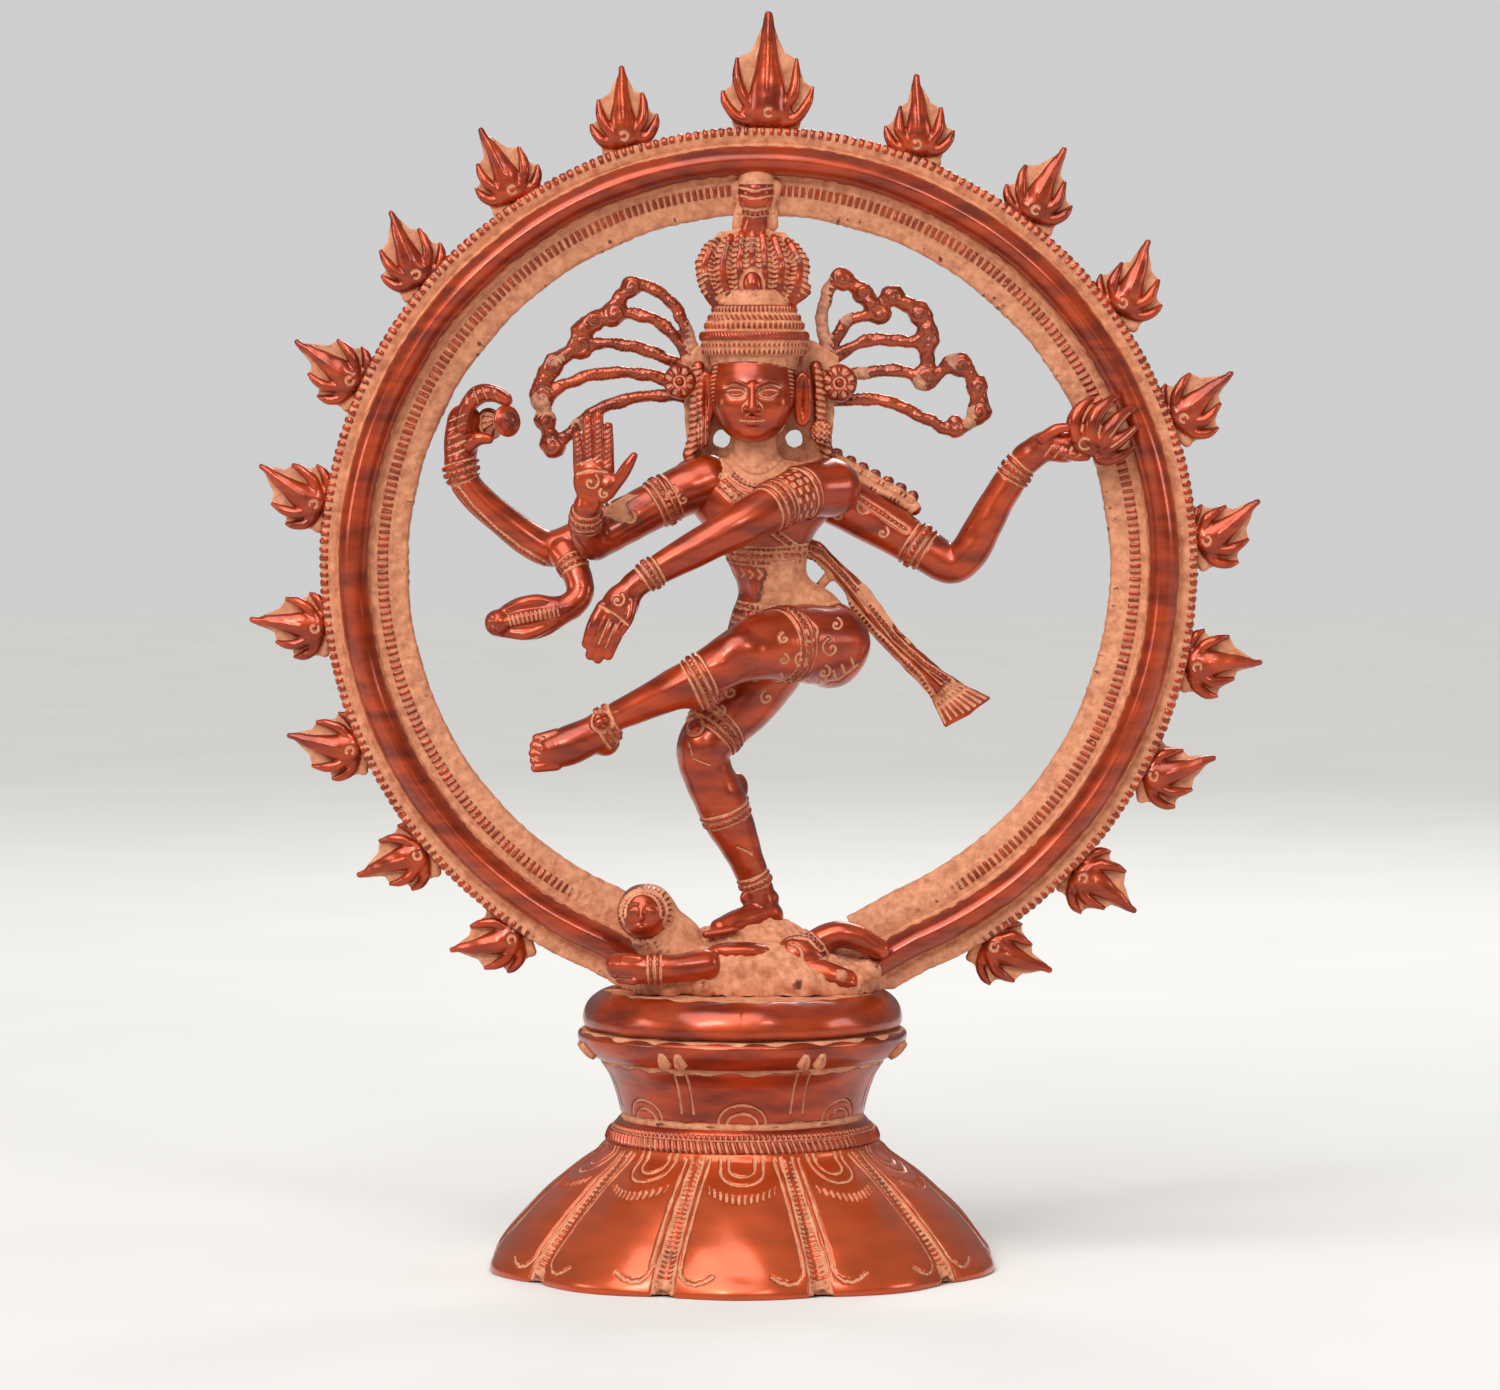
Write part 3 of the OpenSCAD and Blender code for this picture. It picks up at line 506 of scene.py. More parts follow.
def lip_relief(angle, run, r, z):
    """Seven pairs of leaves on the moulding, and patina above and below it."""
    outside = (run <= lip_length + 0.1) * 1.0
    panel = 2 * math.pi / panels
    off = angle % panel - panel / 2
    u = np.abs(off * lip_r) - 2.7
    leaf_foot, leaf_tip = 3.9, 9.3
    v = np.clip((run - leaf_foot) / (leaf_tip - leaf_foot), 0, 1)
    half = 2.1 * np.sqrt(np.clip(1 - v, 0, 1)) * step_up(-0.25, 0.25, v) + 0.01
    in_leaf = step_down(-0.25, 0.3, np.abs(u) - half) * ((run > leaf_foot - 0.4) & (run < leaf_tip + 0.2))
    vein = step_down(0.15, 0.45, np.abs(u))
    worn = unevenness(angle * 45, run * 1.5, z, 8, 41)
    push = outside * (in_leaf * (1.15 - 0.45 * vein) + 0.08 * worn)
    top = step_up(lip_length - 5.0, lip_length - 3.4, run + 0.9 * worn)
    foot = step_down(0.6, 2.4, run + 0.7 * worn)
    rim = step_down(0.1, 0.45, np.abs(np.abs(u) - half - 0.2)) * (run > leaf_foot
        - 0.6) * (run < leaf_tip)
    polish = 1 - np.maximum.reduce([0.95 * top + 0 * u, 0.9 * foot + 0 * u, in_leaf * 0.85, rim * 0.9])
    return push, np.where(outside > 0, polish, 0.1)


turned_piece("bead_lip_casting", np.vstack([lip_line, lip_inside]), 900, pedestal_x, lip_relief,
    ["bead_lip"])


# ---- Cushion ----
# The smooth round seat of the pedestal. It is closed on top, where the figure and the arch stand
# in a ring of patina, and hollow underneath.

cushion_low, cushion_high = box_mm("cushion_plinth")
plinth_z = cushion_high[2]
cushion_r = (cushion_high[0] - cushion_low[0]) / 2
bolt_low, bolt_high = box_mm("arch_bolts")
washer_low, washer_high = box_mm("arch_washers")
bolt_x = (washer_high[0] - 5.5, washer_low[0] + 5.5)
cushion_line = smooth_line([(0.05, plinth_z), (12, plinth_z), (cushion_r - 12, plinth_z),
    (cushion_r - 7.0, plinth_z), (cushion_r - 4.8, plinth_z - 0.5), (cushion_r - 1.9, plinth_z - 2.4),
    (cushion_r - 0.2, plinth_z - 5.0), (cushion_r + 0.6, plinth_z - 8.0),
    (cushion_r + 0.4, plinth_z - 9.8), (cushion_r - 0.6, plinth_z - 10.7),
    (cushion_r - 2.4, plinth_z - 11)], 0.4)[::-1]
cushion_inside = smooth_line([(0.05, plinth_z - 4), (20, plinth_z - 4), (32.6, plinth_z - 4),
    (33.2, plinth_z - 9), (33.4, plinth_z - 11)], 1.2)
cushion_length = length_of(cushion_line)


def cushion_relief(angle, run, r, z):
    """A smooth seat with a ring of patina on top and a band of patina at its foot."""
    outside = (run <= cushion_length + 0.1) * 1.0
    worn = unevenness(angle * 44, run, z, 9, 51)
    rim = r - (cushion_r - 6.5)
    top = step_down(-1.5, 1.6, rim + 1.2 * worn) * (z > plinth_z - 3)
    foot = step_down(0.2, 1.6, run + 0.5 * worn)
    push = outside * (0.12 * worn + top * 0.25 * unevenness(r * np.sin(angle), r * np.cos(angle), z, 4,
        53))
    polish = 1 - np.maximum(top, 0.9 * foot)
    return push * step_up(3, 8, r), np.where(outside > 0, polish, 0.1)


turned_piece("cushion_casting", np.vstack([cushion_line, cushion_inside]), 720, pedestal_x,
    cushion_relief, ["cushion_plinth"])


# ---- Bolts and washers ----
# Two zinc-plated steel hexagon bolts come up through the cushion's plate into the feet of the arch,
# each with a pressed washer. They show only from underneath.

zinc_plate, tree, shader = new_material("zinc_plated_steel")
place = node(tree, "TexCoord").outputs["Object"]
# Spangle of the plating about 1.5 mm, with dull finger marks of 6 mm
spangle = node(tree, "TexVoronoi", {"Vector": place, "Scale": 1000 / 1.5}).outputs["Distance"]
marks = noise(tree, place, 6, Detail=3.0)
tree.links.new(mixed(tree, spangle, srgb("#b4b8bb"), srgb("#8c9196")), shader.inputs["Base Color"])
shader.inputs["Metallic"].default_value = 1.0
dull = fitted(tree, marks, 0.0, 1.0, **{"To Min": 0.28, "To Max": 0.5})
tree.links.new(dull, shader.inputs["Roughness"])
dents = node(tree, "Bump", {"Height": marks, "Strength": 0.2, "Distance": 0.0003})
tree.links.new(dents.outputs["Normal"], shader.inputs["Normal"])

washer_foot = washer_low[2]
washer_top = washer_high[2]
bolt_foot, bolt_tip = bolt_low[2], bolt_high[2]
for side, x in zip(("right", "left"), bolt_x):
    head_top = washer_foot
    shank_r, head_r = 2.4, 3.95
    bolt_outline = [(0.02, bolt_tip), (1.7, bolt_tip), (shank_r, bolt_tip - 0.7)]
    bolt_outline += [(shank_r, bolt_tip - 0.7 - 0.2 * i)
        for i in range(1, int((bolt_tip - head_top - 1.2) / 0.2))]
    bolt_outline += [(shank_r, head_top + 0.05), (head_r, head_top), (head_r, head_top - 0.3),
        (head_r, bolt_foot + 0.5), (3.6, bolt_foot + 0.15), (3.1, bolt_foot), (0.02, bolt_foot)]

    def bolt_relief(angle, run, r, z):
        """A screw thread on the shank and six flats on the head."""
        thread_pitch = 0.8
        thread = 0.24 * np.sin(2 * math.pi * z / thread_pitch - angle)
        thread = thread * (r < 2.45) * (r > 2.3) * (z < bolt_tip - thread_pitch)
        sixth = math.pi / 3
        flat = 3.46 / np.cos((angle + sixth / 2) % sixth - sixth / 2)
        head = np.where((r > 3.5) & (z < head_top + 0.01), np.minimum(flat, 3.85) - r, 0)
        return thread + head, 1.0

    turned_piece("bolt_" + side, bolt_outline, 96, x, bolt_relief, ["arch_bolts"], zinc_plate)
    washer_outline = [(2.8, washer_top), (5.2, washer_top), (5.5, washer_top - 0.25),
        (5.5, washer_foot + 0.15), (5.3, washer_foot), (2.9, washer_foot), (2.7, washer_foot + 0.2)]
    turned_piece("washer_" + side, washer_outline[::-1], 96, x,
        lambda angle, run, r, z: (0.03 * np.sin(angle * 3), 1.0), ["arch_washers"], zinc_plate)


# ---- Flame arch ----
# A ring cast in one piece round the figure, flat behind with a band filed smooth. Its front has a
# burnished half-round rib between two patinated flanges, with notches along both edges and a ladder
# of cut beads beside the rib. Each end runs down into the rock on the plinth.

arch_low, arch_high = box_mm("arch_ring")
arch_out_r = (arch_high[0] - arch_low[0]) / 2
arch_z = arch_high[2] - arch_out_r
arch_in_r = arch_out_r - 26
arch_back = arch_high[1]
arch_crest = arch_low[1]
end_angle = math.radians(157)
rib_r, rib_half = arch_in_r + 16, 4.9

front_steps = smooth_line([(arch_out_r, arch_back - 1.5), (arch_out_r - 0.1, arch_back - 7),
    (arch_out_r - 0.5, arch_back - 8.6), (arch_out_r - 2.2, arch_back - 8.9),
    (rib_r + rib_half + 1.0, arch_back - 8.4), (rib_r + rib_half + 0.2, arch_back - 8.0),
    (rib_r + rib_half - 0.1, arch_back - 8.8), (rib_r + rib_half * 0.8, arch_back - 11.6),
    (rib_r + rib_half * 0.42, arch_back - 14.1), (rib_r, arch_crest),
    (rib_r - rib_half * 0.42, arch_back - 14.1), (rib_r - rib_half * 0.8, arch_back - 11.6),
    (rib_r - rib_half + 0.1, arch_back - 8.0), (rib_r - rib_half - 0.4, arch_back - 7.2),
    (rib_r - rib_half - 2.0, arch_back - 7.4), (arch_in_r + 6.0, arch_back - 7.2),
    (arch_in_r + 4.4, arch_back - 6.6), (arch_in_r + 1.4, arch_back - 5.8),
    (arch_in_r + 0.2, arch_back - 4.9), (arch_in_r, arch_back - 2.0)], 0.36)
back_steps = smooth_line([(arch_in_r, arch_back - 2.0), (arch_in_r + 0.5, arch_back - 0.3),
    (arch_in_r + 3, arch_back), (rib_r - 6, arch_back), (rib_r, arch_back - 0.4), (rib_r + 6, arch_back),
    (arch_out_r - 3, arch_back), (arch_out_r - 0.5, arch_back - 0.3), (arch_out_r, arch_back - 1.5)],
    1.2)[1:-1]
arch_section = np.vstack([front_steps, back_steps])
front_count = len(front_steps)
turn_steps = 1580
tail_steps = 40
sweep = np.linspace(-end_angle, end_angle, turn_steps)
tail = np.linspace(0.4, 17, tail_steps)
sweep_angle = np.concatenate([np.full(tail_steps, -end_angle), sweep, np.full(tail_steps, end_angle)])
past_end = np.concatenate([-tail[::-1], np.zeros(turn_steps), tail])

radius = arch_section[:, 0][None, :]
depth = arch_section[:, 1][None, :]
ahead = np.roll(arch_section, -1, axis=0) - np.roll(arch_section, 1, axis=0)
ahead /= np.linalg.norm(ahead, axis=1)[:, None]
out_r, out_y = ahead[:, 1][None, :] * -1, ahead[:, 0][None, :]
turn = sweep_angle[:, None]
arc = (sweep_angle * rib_r + past_end)[:, None]
is_front = (np.arange(len(arch_section)) < front_count)[None, :]

worn = unevenness(arc, radius * 1.0, depth, 16, 61)
fine_worn = unevenness(arc, radius * 1.0, depth, 3.2, 62)
fading = 1 - step_up(math.radians(143), math.radians(154), np.abs(turn) + 0.05 * worn) * 0.85

ladder_pitch = 2.2
ladder_phase = np.abs((arc + 1000 * ladder_pitch) % ladder_pitch - ladder_pitch / 2)
ladder_middle = rib_r - rib_half - 3.7
in_ladder = step_down(1.35, 1.75, np.abs(radius - ladder_middle))
bead = step_down(0.5, 0.72, ladder_phase + 0.12 * fine_worn) * in_ladder
ladder_gap = step_up(0.62, 0.82, ladder_phase) * in_ladder

notch_pitch = 2.5
notch_phase = np.abs((arc * arch_out_r / rib_r + 1000 * notch_pitch) % notch_pitch - notch_pitch / 2)
in_edge = step_up(arch_out_r - 2.5, arch_out_r - 2.0, radius)
tick = step_down(0.6, 0.85, notch_phase + 0.25 * fine_worn) * in_edge

inner_pitch = 3.0
inner_phase = np.abs((arc * 0.9 + 1000 * inner_pitch + 1.2 * worn) % inner_pitch - inner_pitch / 2)
in_inner = step_down(arch_in_r + 2.2, arch_in_r + 3.2, radius)
inner_tick = step_down(0.7, 1.1, inner_phase + 0.35 * fine_worn) * in_inner * step_up(-0.5, 0.5, worn)
inner_tick = 0.35 * inner_tick * step_down(math.radians(100), math.radians(125), np.abs(turn))

on_rib = step_down(rib_half - 0.5, rib_half - 0.1, np.abs(radius - rib_r))
worn_rib = step_down(rib_half - 0.9, rib_half - 0.2, np.abs(radius - rib_r) + 0.22 * fine_worn)
push = 0.16 * worn + fading * is_front * (0.55 * bead - 0.15 * ladder_gap + 0.45 * tick
    + 0.4 * inner_tick)
push = push + 0.12 * fine_worn * (1 - on_rib)
ladder_edge = step_down(0.15, 0.4, np.abs(np.abs(radius - ladder_middle) - 1.75))
push = push - 0.3 * ladder_edge * is_front * fading
bite = step_up(0.45, 0.9, unevenness(arc, radius, depth, 5, 64)) * (1 - on_rib)
push = push - 0.25 * bite * is_front
polish = np.where(is_front, 0.08 + worn_rib * 0.95
    + fading * (0.68 * bead + 0.75 * tick + 0.72 * inner_tick), 0.2)
polish = polish + is_front * (1 - on_rib) * 0.22 * np.clip(fine_worn, 0, 1)
filed_back = step_down(7.0, 8.2, np.abs(radius - rib_r + 0.5) + 1.6 * worn + 0.5 * fine_worn)
polish = polish - 0.25 * ladder_edge + (~is_front) * filed_back * 0.72

rr = radius + out_r * push
yy = depth + out_y * push
drop = np.abs(past_end)[:, None]
points = np.stack([rr * np.sin(turn) - np.sign(turn) * 0.87 * drop, yy + 0 * turn,
    arch_z + rr * np.cos(turn) - 0.49 * drop], -1)
points[..., 2] = np.maximum(points[..., 2], plinth_z + 0.05)
rows, columns = points.shape[:2]
caps = [np.arange(columns), (rows - 1) * columns + np.arange(columns)[::-1]]
add_piece("flame_arch_casting", points.reshape(-1, 3), loop_quads(rows, columns, False)[:, ::-1],
    polish.ravel(), red_casting, ["arch_ring"], [c[::-1] for c in caps])


# ---- Flames ----
# Nineteen flames cast on the outer edge of the arch: a large one at the crown and nine down each
# side, every one leaning back toward upright. Each has a swelling body with a crescent punched in
# it, a long middle tongue, and shorter tongues on a thin web that keeps its patina.

class Wax:
    """A block of modelling wax: the distance to its surface, in millimetres, on a grid of points.
    Shapes are melted on or cut away, and each brings its own polish."""

    def __init__(self, low, high, step):
        self.step = step
        self.low = np.array(low, float)
        count = np.ceil((np.array(high) - self.low) / step).astype(int) + 1
        self.far = np.full(count, 6.0, np.float32)
        self.polish = np.ones(count, np.float32)

    def part(self, low, high):
        """The grid points in a box: where they are in the grid, and their coordinates."""
        shape = np.array(self.far.shape)
        first = np.clip(np.floor((np.array(low) - self.low) / self.step).astype(int), 0, shape)
        last = np.clip(np.ceil((np.array(high) - self.low) / self.step).astype(int) + 1, first, shape)
        lines = [(self.low[k] + self.step * np.arange(first[k], last[k])).astype(np.float32)
            for k in range(3)]
        return tuple(slice(a, b) for a, b in zip(first, last)), np.meshgrid(*lines, indexing="ij",
            sparse=True)

    def join(self, where, far, melt, polish, cut):
        """Melts a shape on, or cuts it away, with a fillet of about the given size."""
        old = self.far[where]
        melt = max(melt, 0.02)
        if cut:
            weight = np.clip(0.5 - 0.5 * (old + far) / melt, 0, 1)
            self.far[where] = old + (-far - old) * weight + melt * weight * (1 - weight)
        else:
            weight = np.clip(0.5 + 0.5 * (old - far) / melt, 0, 1)
            self.far[where] = old + (far - old) * weight - melt * weight * (1 - weight)
        self.polish[where] += (polish - self.polish[where]) * weight

    def limb(self, points, melt=1.0, polish=1.0, squash=(1, 1, 1), cut=False):
        """A rounded limb through [x, y, z, radius] points, squashed along the axes if asked."""
        points = np.asarray(points, float)
        squash = np.asarray(squash, float)
        reach = points[:, 3:4] + melt + 2 * self.step
        where, (x, y, z) = self.part((points[:, :3] - reach).min(0), (points[:, :3] + reach).max(0))
        far = np.full(np.broadcast(x, y, z).shape, 6.0, np.float32)
        if far.size == 0:
            return
        for a, b in zip(points[:-1], points[1:]):
            pad = max(a[3], b[3]) + melt + 2 * self.step
            low, high = np.minimum(a, b)[:3] - pad, np.maximum(a, b)[:3] + pad
            cells = []
            for line, l, h in zip((x.ravel(), y.ravel(), z.ravel()), low, high):
                cells.append(slice(*np.searchsorted(line, (l, h))))
            cells = tuple(cells)
            dx = (x[cells[0]] - a[0]) / squash[0]
            dy = (y[:, cells[1]] - a[1]) / squash[1]
            dz = (z[:, :, cells[2]] - a[2]) / squash[2]
            along = (b[:3] - a[:3]) / squash
            t = np.clip((dx * along[0] + dy * along[1] + dz * along[2]) / (along @ along + 1e-9), 0, 1)
            ball = np.sqrt((dx - t * along[0]) ** 2 + (dy - t * along[1]) ** 2 + (dz - t * along[2]) ** 2)
            ball = (ball - (a[3] + t * (b[3] - a[3]))) * min(1.0, squash.min() ** 0.5)
            far[cells] = np.minimum(far[cells], ball)
        self.join(where, far, melt, polish, cut)

    def curve(self, points, step, melt=1.0, polish=1.0, squash=(1, 1, 1)):
        """A rounded limb on a soft curve through the points."""
        self.limb(smooth_line(points, step), melt, polish, squash)

    def ball(self, centre, radii, melt=1.0, polish=1.0, turn=(0, 0, 0), cut=False):
        """An egg with three radii, turned about X, Y and Z by degrees."""
        radii = np.broadcast_to(np.asarray(radii, float), 3)
        reach = radii.max() + melt + 2 * self.step
        where, (x, y, z) = self.part(np.array(centre) - reach, np.array(centre) + reach)
        back = Euler([math.radians(a) for a in turn]).to_matrix().transposed()
        dx, dy, dz = x - centre[0], y - centre[1], z - centre[2]
        own = [back[i][0] * dx + back[i][1] * dy + back[i][2] * dz for i in range(3)]
        one = np.sqrt(sum((v / r) ** 2 for v, r in zip(own, radii)))
        two = np.sqrt(sum((v / r ** 2) ** 2 for v, r in zip(own, radii))) + 1e-6
        self.join(where, one * (one - 1) / two, melt, polish, cut)

    def sheet(self, outline, front, back, melt=0.5, polish=1.0, cut=False):
        """A flat plate with an (x, z) outline between two depths."""
        outline = np.asarray(outline, float)
        pad = melt + 3 * self.step
        low = [outline[:, 0].min() - pad, front - pad, outline[:, 1].min() - pad]
        high = [outline[:, 0].max() + pad, back + pad, outline[:, 1].max() + pad]
        where, (x, y, z) = self.part(low, high)
        flat_x, flat_z = x[:, 0, :], z[:, 0, :]
        far = near_line(flat_x, flat_z, list(outline) + [outline[0]])
        inside = np.zeros(far.shape, bool)
        for (x0, z0), (x1, z1) in zip(outline, np.roll(outline, -1, axis=0)):
            crosses = (z0 > flat_z) != (z1 > flat_z)
            inside ^= crosses & (flat_x < (x1 - x0) * (flat_z - z0) / (z1 - z0 + 1e-12) + x0)
        far = np.where(inside, -far, far)[:, None, :]
        across = np.abs(y - (front + back) / 2) - (back - front) / 2
        out = np.hypot(np.maximum(far, 0), np.maximum(across, 0)) + np.minimum(np.maximum(far, across), 0)
        self.join(where, out.astype(np.float32), melt, polish, cut)


class Casting:
    """The metal cast from a wax. Its surface points can be pushed in or out by the chasing tools."""

    def __init__(self, wax, smoothing=1):
        far = np.pad(wax.far, 1, constant_values=6.0)
        tone = np.pad(wax.polish, 1, mode="edge")
        inside = far < 0
        cells = np.zeros([n - 1 for n in far.shape], np.int8)
        for i in (0, 1):
            for j in (0, 1):
                for k in (0, 1):
                    cells += inside[i:i + cells.shape[0], j:j + cells.shape[1], k:k + cells.shape[2]]
        crossed = (cells > 0) & (cells < 8)
        place = np.argwhere(crossed)
        number = np.full(cells.shape, -1, np.int32)
        number[crossed] = np.arange(len(place))
        total = np.zeros((len(place), 3))
        hits = np.zeros(len(place))
        corners = [np.array((i, j, k)) for i in (0, 1) for j in (0, 1) for k in (0, 1)]
        for a in corners:
            for b in corners:
                if (b - a).sum() != 1 or np.abs(b - a).sum() != 1:
                    continue
                fa = far[tuple((place + a).T)]
                fb = far[tuple((place + b).T)]
                cross = (fa < 0) != (fb < 0)
                t = np.where(cross, fa / np.where(cross, fa - fb, 1), 0)[:, None]
                total += np.where(cross[:, None], a + t * (b - a), 0)
                hits += cross
        grid = place + total / hits[:, None]
        self.points = (grid - 1) * wax.step + wax.low
        near = np.clip(np.rint(grid).astype(int), 0, np.array(tone.shape) - 1)
        self.polish = tone[tuple(near.T)].astype(float)
        quads = []
        for axis in range(3):
            one, two = (axis + 1) % 3, (axis + 2) % 3
            first = [slice(None)] * 3
            second = [slice(None)] * 3
            first[axis], second[axis] = slice(0, -1), slice(1, None)
            edges = np.argwhere(inside[tuple(first)] != inside[tuple(second)])
            goes_out = inside[tuple(edges.T)]
            ring = []
            for da, db in ((0, 0), (-1, 0), (-1, -1), (0, -1)):
                cell = edges.copy()
                cell[:, one] += da
                cell[:, two] += db
                ring.append(number[tuple(cell.T)])
            ring = np.stack(ring, -1)
            ring[~goes_out] = ring[~goes_out][:, ::-1]
            quads.append(ring)
        self.quads = np.vstack(quads)
        sides = np.vstack([self.quads[:, [i, (i + 1) % 4]] for i in range(4)])
        self.sides = np.vstack([sides, sides[:, ::-1]])
        self.count = np.bincount(self.sides[:, 0], minlength=len(self.points)).astype(float)
        self.points = self.relaxed(self.points, smoothing)

    def of(self, axis):
        """The X, Y or Z of every surface point."""
        return self.points[:, "xyz".index(axis)]

    def relaxed(self, values, times):
        """Values evened out between neighbouring points."""
        values = np.array(values, float)
        flat = values.reshape(len(self.points), -1)
        for _ in range(times):
            for c in range(flat.shape[1]):
                around = np.bincount(self.sides[:, 0], flat[self.sides[:, 1], c],
                    len(self.points)) / self.count
                flat[:, c] = 0.4 * flat[:, c] + 0.6 * around
        return flat.reshape(values.shape)

    def normals(self):
        """Unit normals at the surface points."""
        p = self.points[self.quads]
        face = np.cross(p[:, 2] - p[:, 0], p[:, 3] - p[:, 1])
        out = np.zeros_like(self.points)
        for c in range(3):
            for k in range(4):
                out[:, c] += np.bincount(self.quads[:, k], face[:, c], len(self.points))
        return out / (np.linalg.norm(out, axis=1)[:, None] + 1e-9)

    def work(self, push, polish=0):
        """Pushes the surface out by so many millimetres and changes its polish."""
        self.points += self.normals() * np.broadcast_to(push, len(self.points))[:, None]
        self.polish = self.polish + polish

    def seen_from(self, side):
        """1 where the surface faces a side, 0 where it doesn't."""
        return step_up(0.1, 0.4, self.normals() @ np.array(side, float))

    def line(self, points, wide=0.35, deep=0.35, polish=-0.9, side=(0, -1, 0), mask=1):
        """A chased line along (x, z) points on the surface that faces the side."""
        far = near_line(self.of("x"), self.of("z"), points)
        near = np.flatnonzero(far < wide + 1)
        if len(near) == 0:
            return
        cut = step_down(wide * 0.6, wide + 0.3, far) * self.seen_from(side) * mask
        self.work(-deep * cut, polish * cut)

    def cord(self, points, wide=0.6, proud=0.5, pitch=1.6, polish=0.0, side=(0, -1, 0)):
        """A raised beaded cord along (x, z) points, with patina on each side of it."""
        far, run = along_line(self.of("x"), self.of("z"), points)
        on = step_down(wide * 0.75, wide + 0.2, far) * self.seen_from(side)
        beads = 0.5 + 0.5 * np.cos(run * 2 * math.pi / pitch)
        beside = step_down(0.1, 0.5, np.abs(far - wide - 0.3)) * self.seen_from(side)
        self.work(on * proud * (0.45 + 0.55 * beads) - 0.25 * beside, on * (polish - 0.7 * (1 - beads))
            - 0.8 * beside)

    def follow(self, path):
        """Distance along a limb's path, angle round it, and distance from it, at each point."""
        path = np.asarray(path, float)[:, :3]
        first = path[:1] + 14 * (path[:1] - path[1:2]) / np.linalg.norm(path[1] - path[0])
        last = path[-1:] + 14 * (path[-1:] - path[-2:-1]) / np.linalg.norm(path[-1] - path[-2])
        path = np.concatenate([first, path, last])
        best = np.full(len(self.points), 1e6)
        run = np.zeros(len(self.points))
        angle = np.zeros(len(self.points))
        start = -14.0
        for a, b in zip(path[:-1], path[1:]):
            way = b - a
            length = np.linalg.norm(way)
            way /= length + 1e-9
            t = np.clip((self.points - a) @ way, 0, length)
            away = self.points - a - t[:, None] * way
            far = np.linalg.norm(away, axis=1)
            one = np.cross(way, (0.3, 1.0, 0.2))
            one /= np.linalg.norm(one)
            two = np.cross(way, one)
            closer = far < best
            best[closer] = far[closer]
            run[closer] = (start + t)[closer]
            angle[closer] = np.arctan2(away @ two, away @ one)[closer]
            start += length
        return run, angle, best

    def ring(self, follow, at, wide=1.6, proud=0.5, beads=0, slant=0.0, reach=99):
        """A raised ring round a limb, beaded if asked, with a groove of patina on each side."""
        run, angle, far = follow
        s = np.abs(run - at + slant * np.sin(angle))
        close = far < reach
        on = step_down(wide / 2 - 0.25, wide / 2 + 0.15, s) * close
        groove = step_down(0.1, 0.55, np.abs(s - wide / 2 - 0.3)) * close
        bead = 0.5 + 0.5 * np.cos(beads * angle) if beads else 1
        self.work(proud * on * (0.4 + 0.6 * bead) - 0.25 * groove, -0.85 * groove - 0.6 * on * (1 - bead))

    def rings(self, follow, rows, slant=0.0, reach=99):
        """Several rings round one limb, each by its place, width, height and number of beads."""
        for at, wide, proud, beads in rows:
            self.ring(follow, at, wide, proud, beads, slant, reach)

    def curls(self, rows, wide, deep, last=7.2, count=22):
        """Chased spirals, each by its middle, its size and the way it turns."""
        for x, z, size, flip in rows:
            self.line([(x + flip * size * a / last * math.cos(a), z + size * a / last * math.sin(a))
                for a in np.linspace(0.4, last, count)], wide, deep)

    def weather(self, amount=2.2, times=14, uneven=0.1, seed=1, size=7):
        """Leaves patina in the hollows, burnishes what stands proud, and makes the surface hand-worn."""
        hollow = ((self.relaxed(self.points, times) - self.points) * self.normals()).sum(1)
        self.polish = self.polish - amount * np.clip(hollow, -0.08, 1)
        x, y, z = self.points.T
        self.work(uneven * unevenness(x, y, z, size, seed), 0)

    def place(self, node_name, slot="red_lacquered_brass", material=red_casting, origin=(0, 0, plinth_z)):
        """Puts the finished casting in the scene, for the CAD node of that name."""
        add_piece(node_name + "_casting", self.points + np.array(origin), self.quads, self.polish,
            material, [node_name])


def along_line(u, v, points):
    """Distance from each (u, v) to a line through the points, and how far along it that is."""
    best = np.full(np.broadcast(u, v).shape, 1e3)
    run = np.zeros_like(best)
    start = 0.0
    for (u0, v0), (u1, v1) in zip(points[:-1], points[1:]):
        du, dv = u1 - u0, v1 - v0
        length = math.hypot(du, dv)
        t = np.clip(((u - u0) * du + (v - v0) * dv) / (length * length + 1e-9), 0, 1)
        far = np.hypot(u - u0 - t * du, v - v0 - t * dv)
        run = np.where(far < best, start + t * length, run)
        best = np.minimum(best, far)
        start += length
    return best, run


def circle(x, z, r, start, end, count):
    """(x, z) points on part of a circle, with angles from the X axis."""
    return [(x + r * math.cos(a), z + r * math.sin(a)) for a in np.linspace(start, end, count)]


